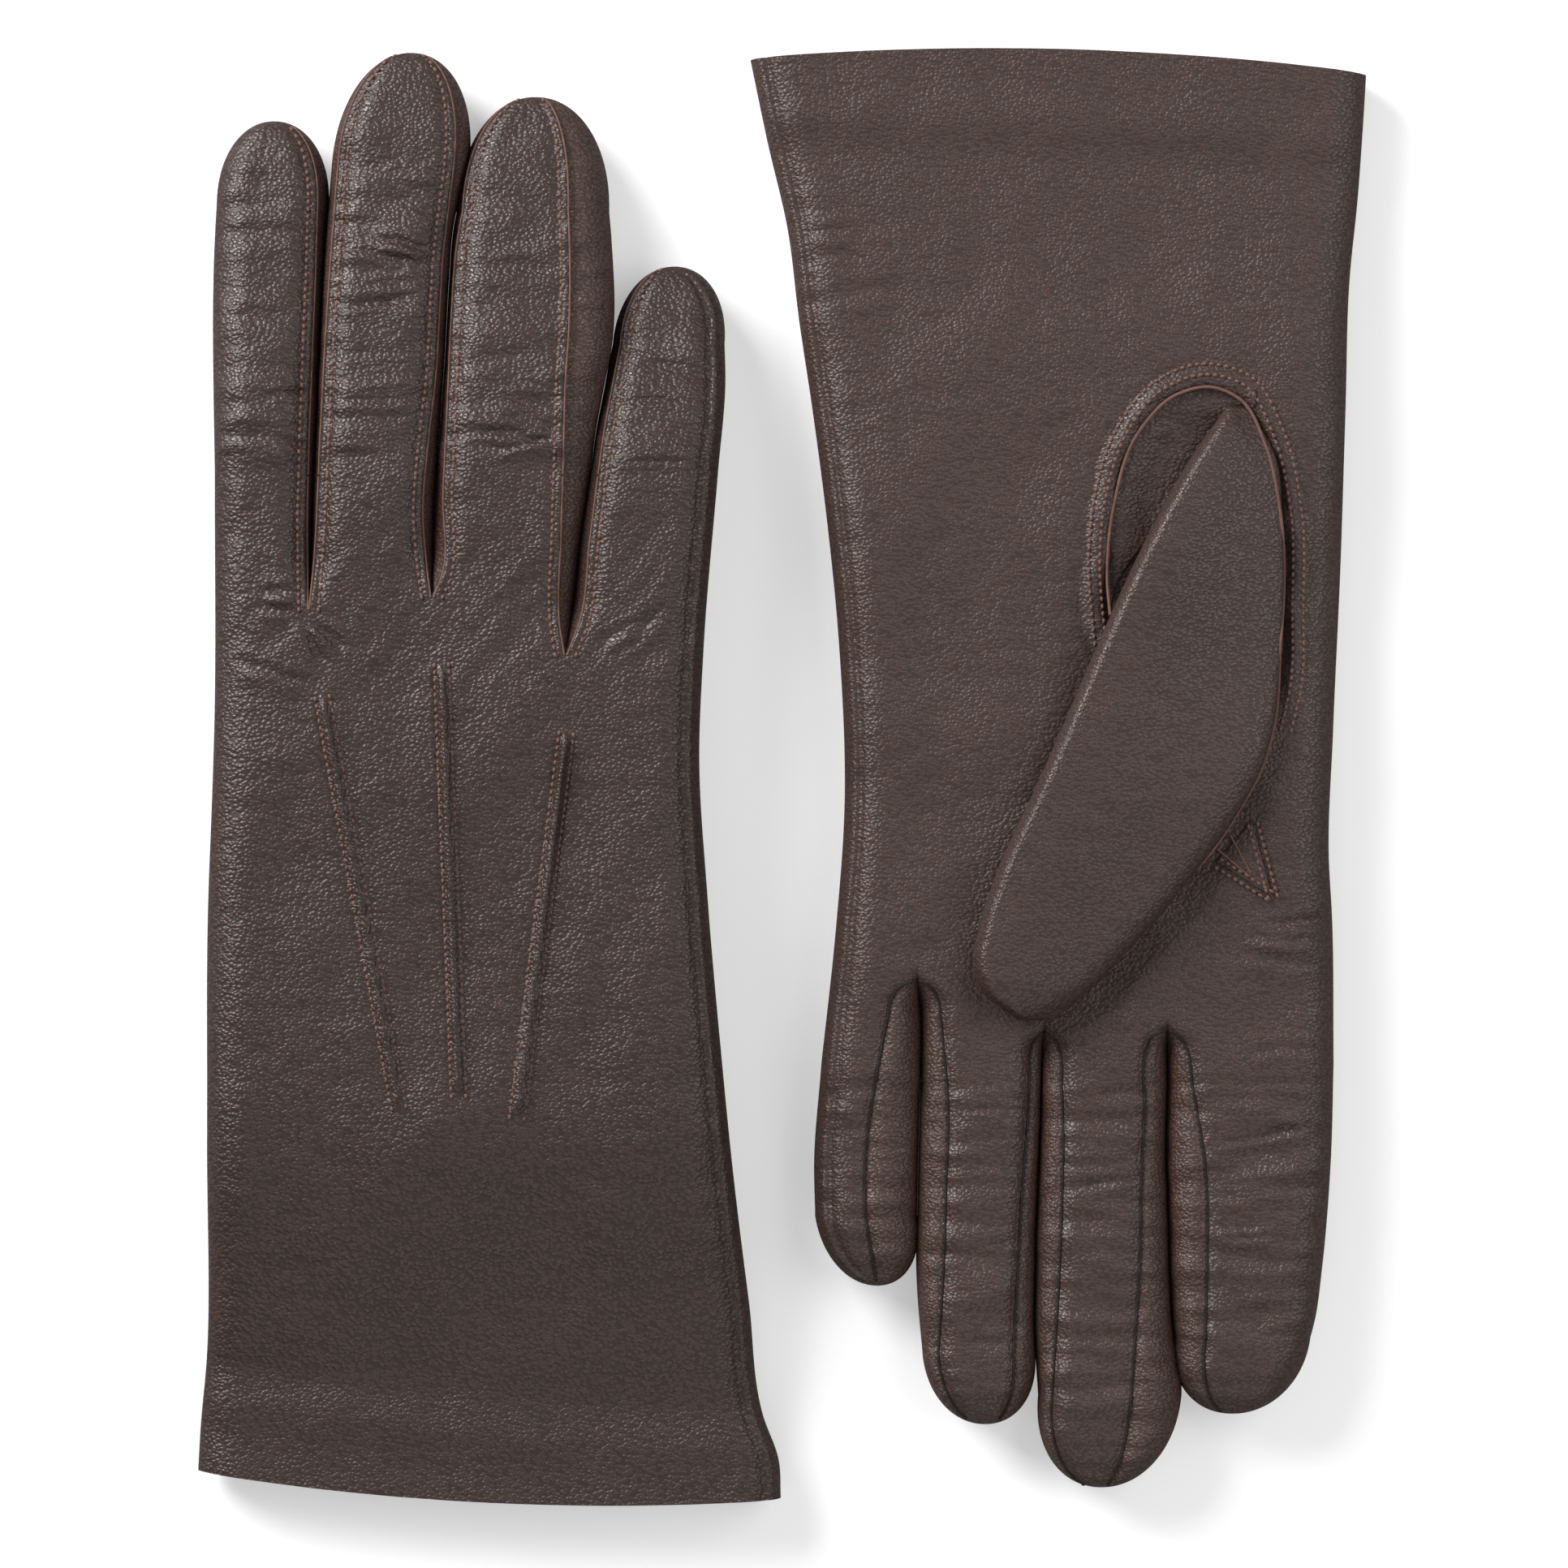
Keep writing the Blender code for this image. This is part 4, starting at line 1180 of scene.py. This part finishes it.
class GLOVES_OT_stage(bpy.types.Operator):
    """Set up the table, the soft light and the camera above it"""
    bl_idname = "gloves.stage"
    bl_label = "Stage"

    def execute(self, context):
        settings = context.scene.glove_settings
        mesh = bmesh.new()
        level = Matrix.Translation((0.0, 0.0, TABLE_LEVEL))
        bmesh.ops.create_grid(mesh, x_segments=1, y_segments=1, size=TABLE_SIZE, matrix=level)
        data = bpy.data.meshes.new("table")
        mesh.to_mesh(data)
        mesh.free()
        table = bpy.data.objects.new("table", data)
        context.collection.objects.link(table)
        data.materials.append(table_look())
        world = bpy.data.worlds.new("studio")
        world.use_nodes = True
        sky = world.node_tree.nodes["Background"]
        set_inputs(world.node_tree, sky, {"Color": (1.0, 1.0, 1.0, 1.0), "Strength": WORLD_STRENGTH})
        context.scene.world = world
        for label, (place, size, power) in LAMPS.items():
            lamp = bpy.data.lights.new(label, "AREA")
            lamp.size = size
            lamp.energy = power
            light = bpy.data.objects.new(label, lamp)
            light.location = place
            light.rotation_euler = (-Vector(place)).to_track_quat("-Z", "Y").to_euler()
            context.collection.objects.link(light)
        lens = bpy.data.cameras.new("camera")
        lens.sensor_width = 36.0
        lens.lens = lens.sensor_width * settings.camera_height / settings.view_width
        camera = bpy.data.objects.new("camera", lens)
        camera.location = (*CAMERA_PLACE, settings.camera_height)
        context.collection.objects.link(camera)
        context.scene.camera = camera
        context.scene.view_settings.view_transform = "Standard"
        return {"FINISHED"}


class GLOVES_PT_panel(bpy.types.Panel):
    """The gloves' sizes and the steps that build them"""
    bl_label = "Leather gloves"
    bl_space_type = "VIEW_3D"
    bl_region_type = "UI"
    bl_category = "Gloves"

    def draw(self, context):
        for key in GloveSettings.__annotations__:
            self.layout.prop(context.scene.glove_settings, key)
        for step in STEPS:
            self.layout.operator(step.bl_idname)


STEPS = (GLOVES_OT_leather, GLOVES_OT_thumbs, GLOVES_OT_lining, GLOVES_OT_stitching, GLOVES_OT_stage)
CLASSES = (GloveSettings, *STEPS, GLOVES_PT_panel)


def register():
    for kind in CLASSES:
        bpy.utils.register_class(kind)
    bpy.types.Scene.glove_settings = bpy.props.PointerProperty(type=GloveSettings)


def unregister():
    del bpy.types.Scene.glove_settings
    for kind in reversed(CLASSES):
        bpy.utils.unregister_class(kind)


def main():
    register()
    bpy.ops.gloves.leather()
    bpy.ops.gloves.thumbs()
    bpy.ops.gloves.lining()
    bpy.ops.gloves.stitching()
    bpy.ops.gloves.stage()


if __name__ == "__main__":
    main()
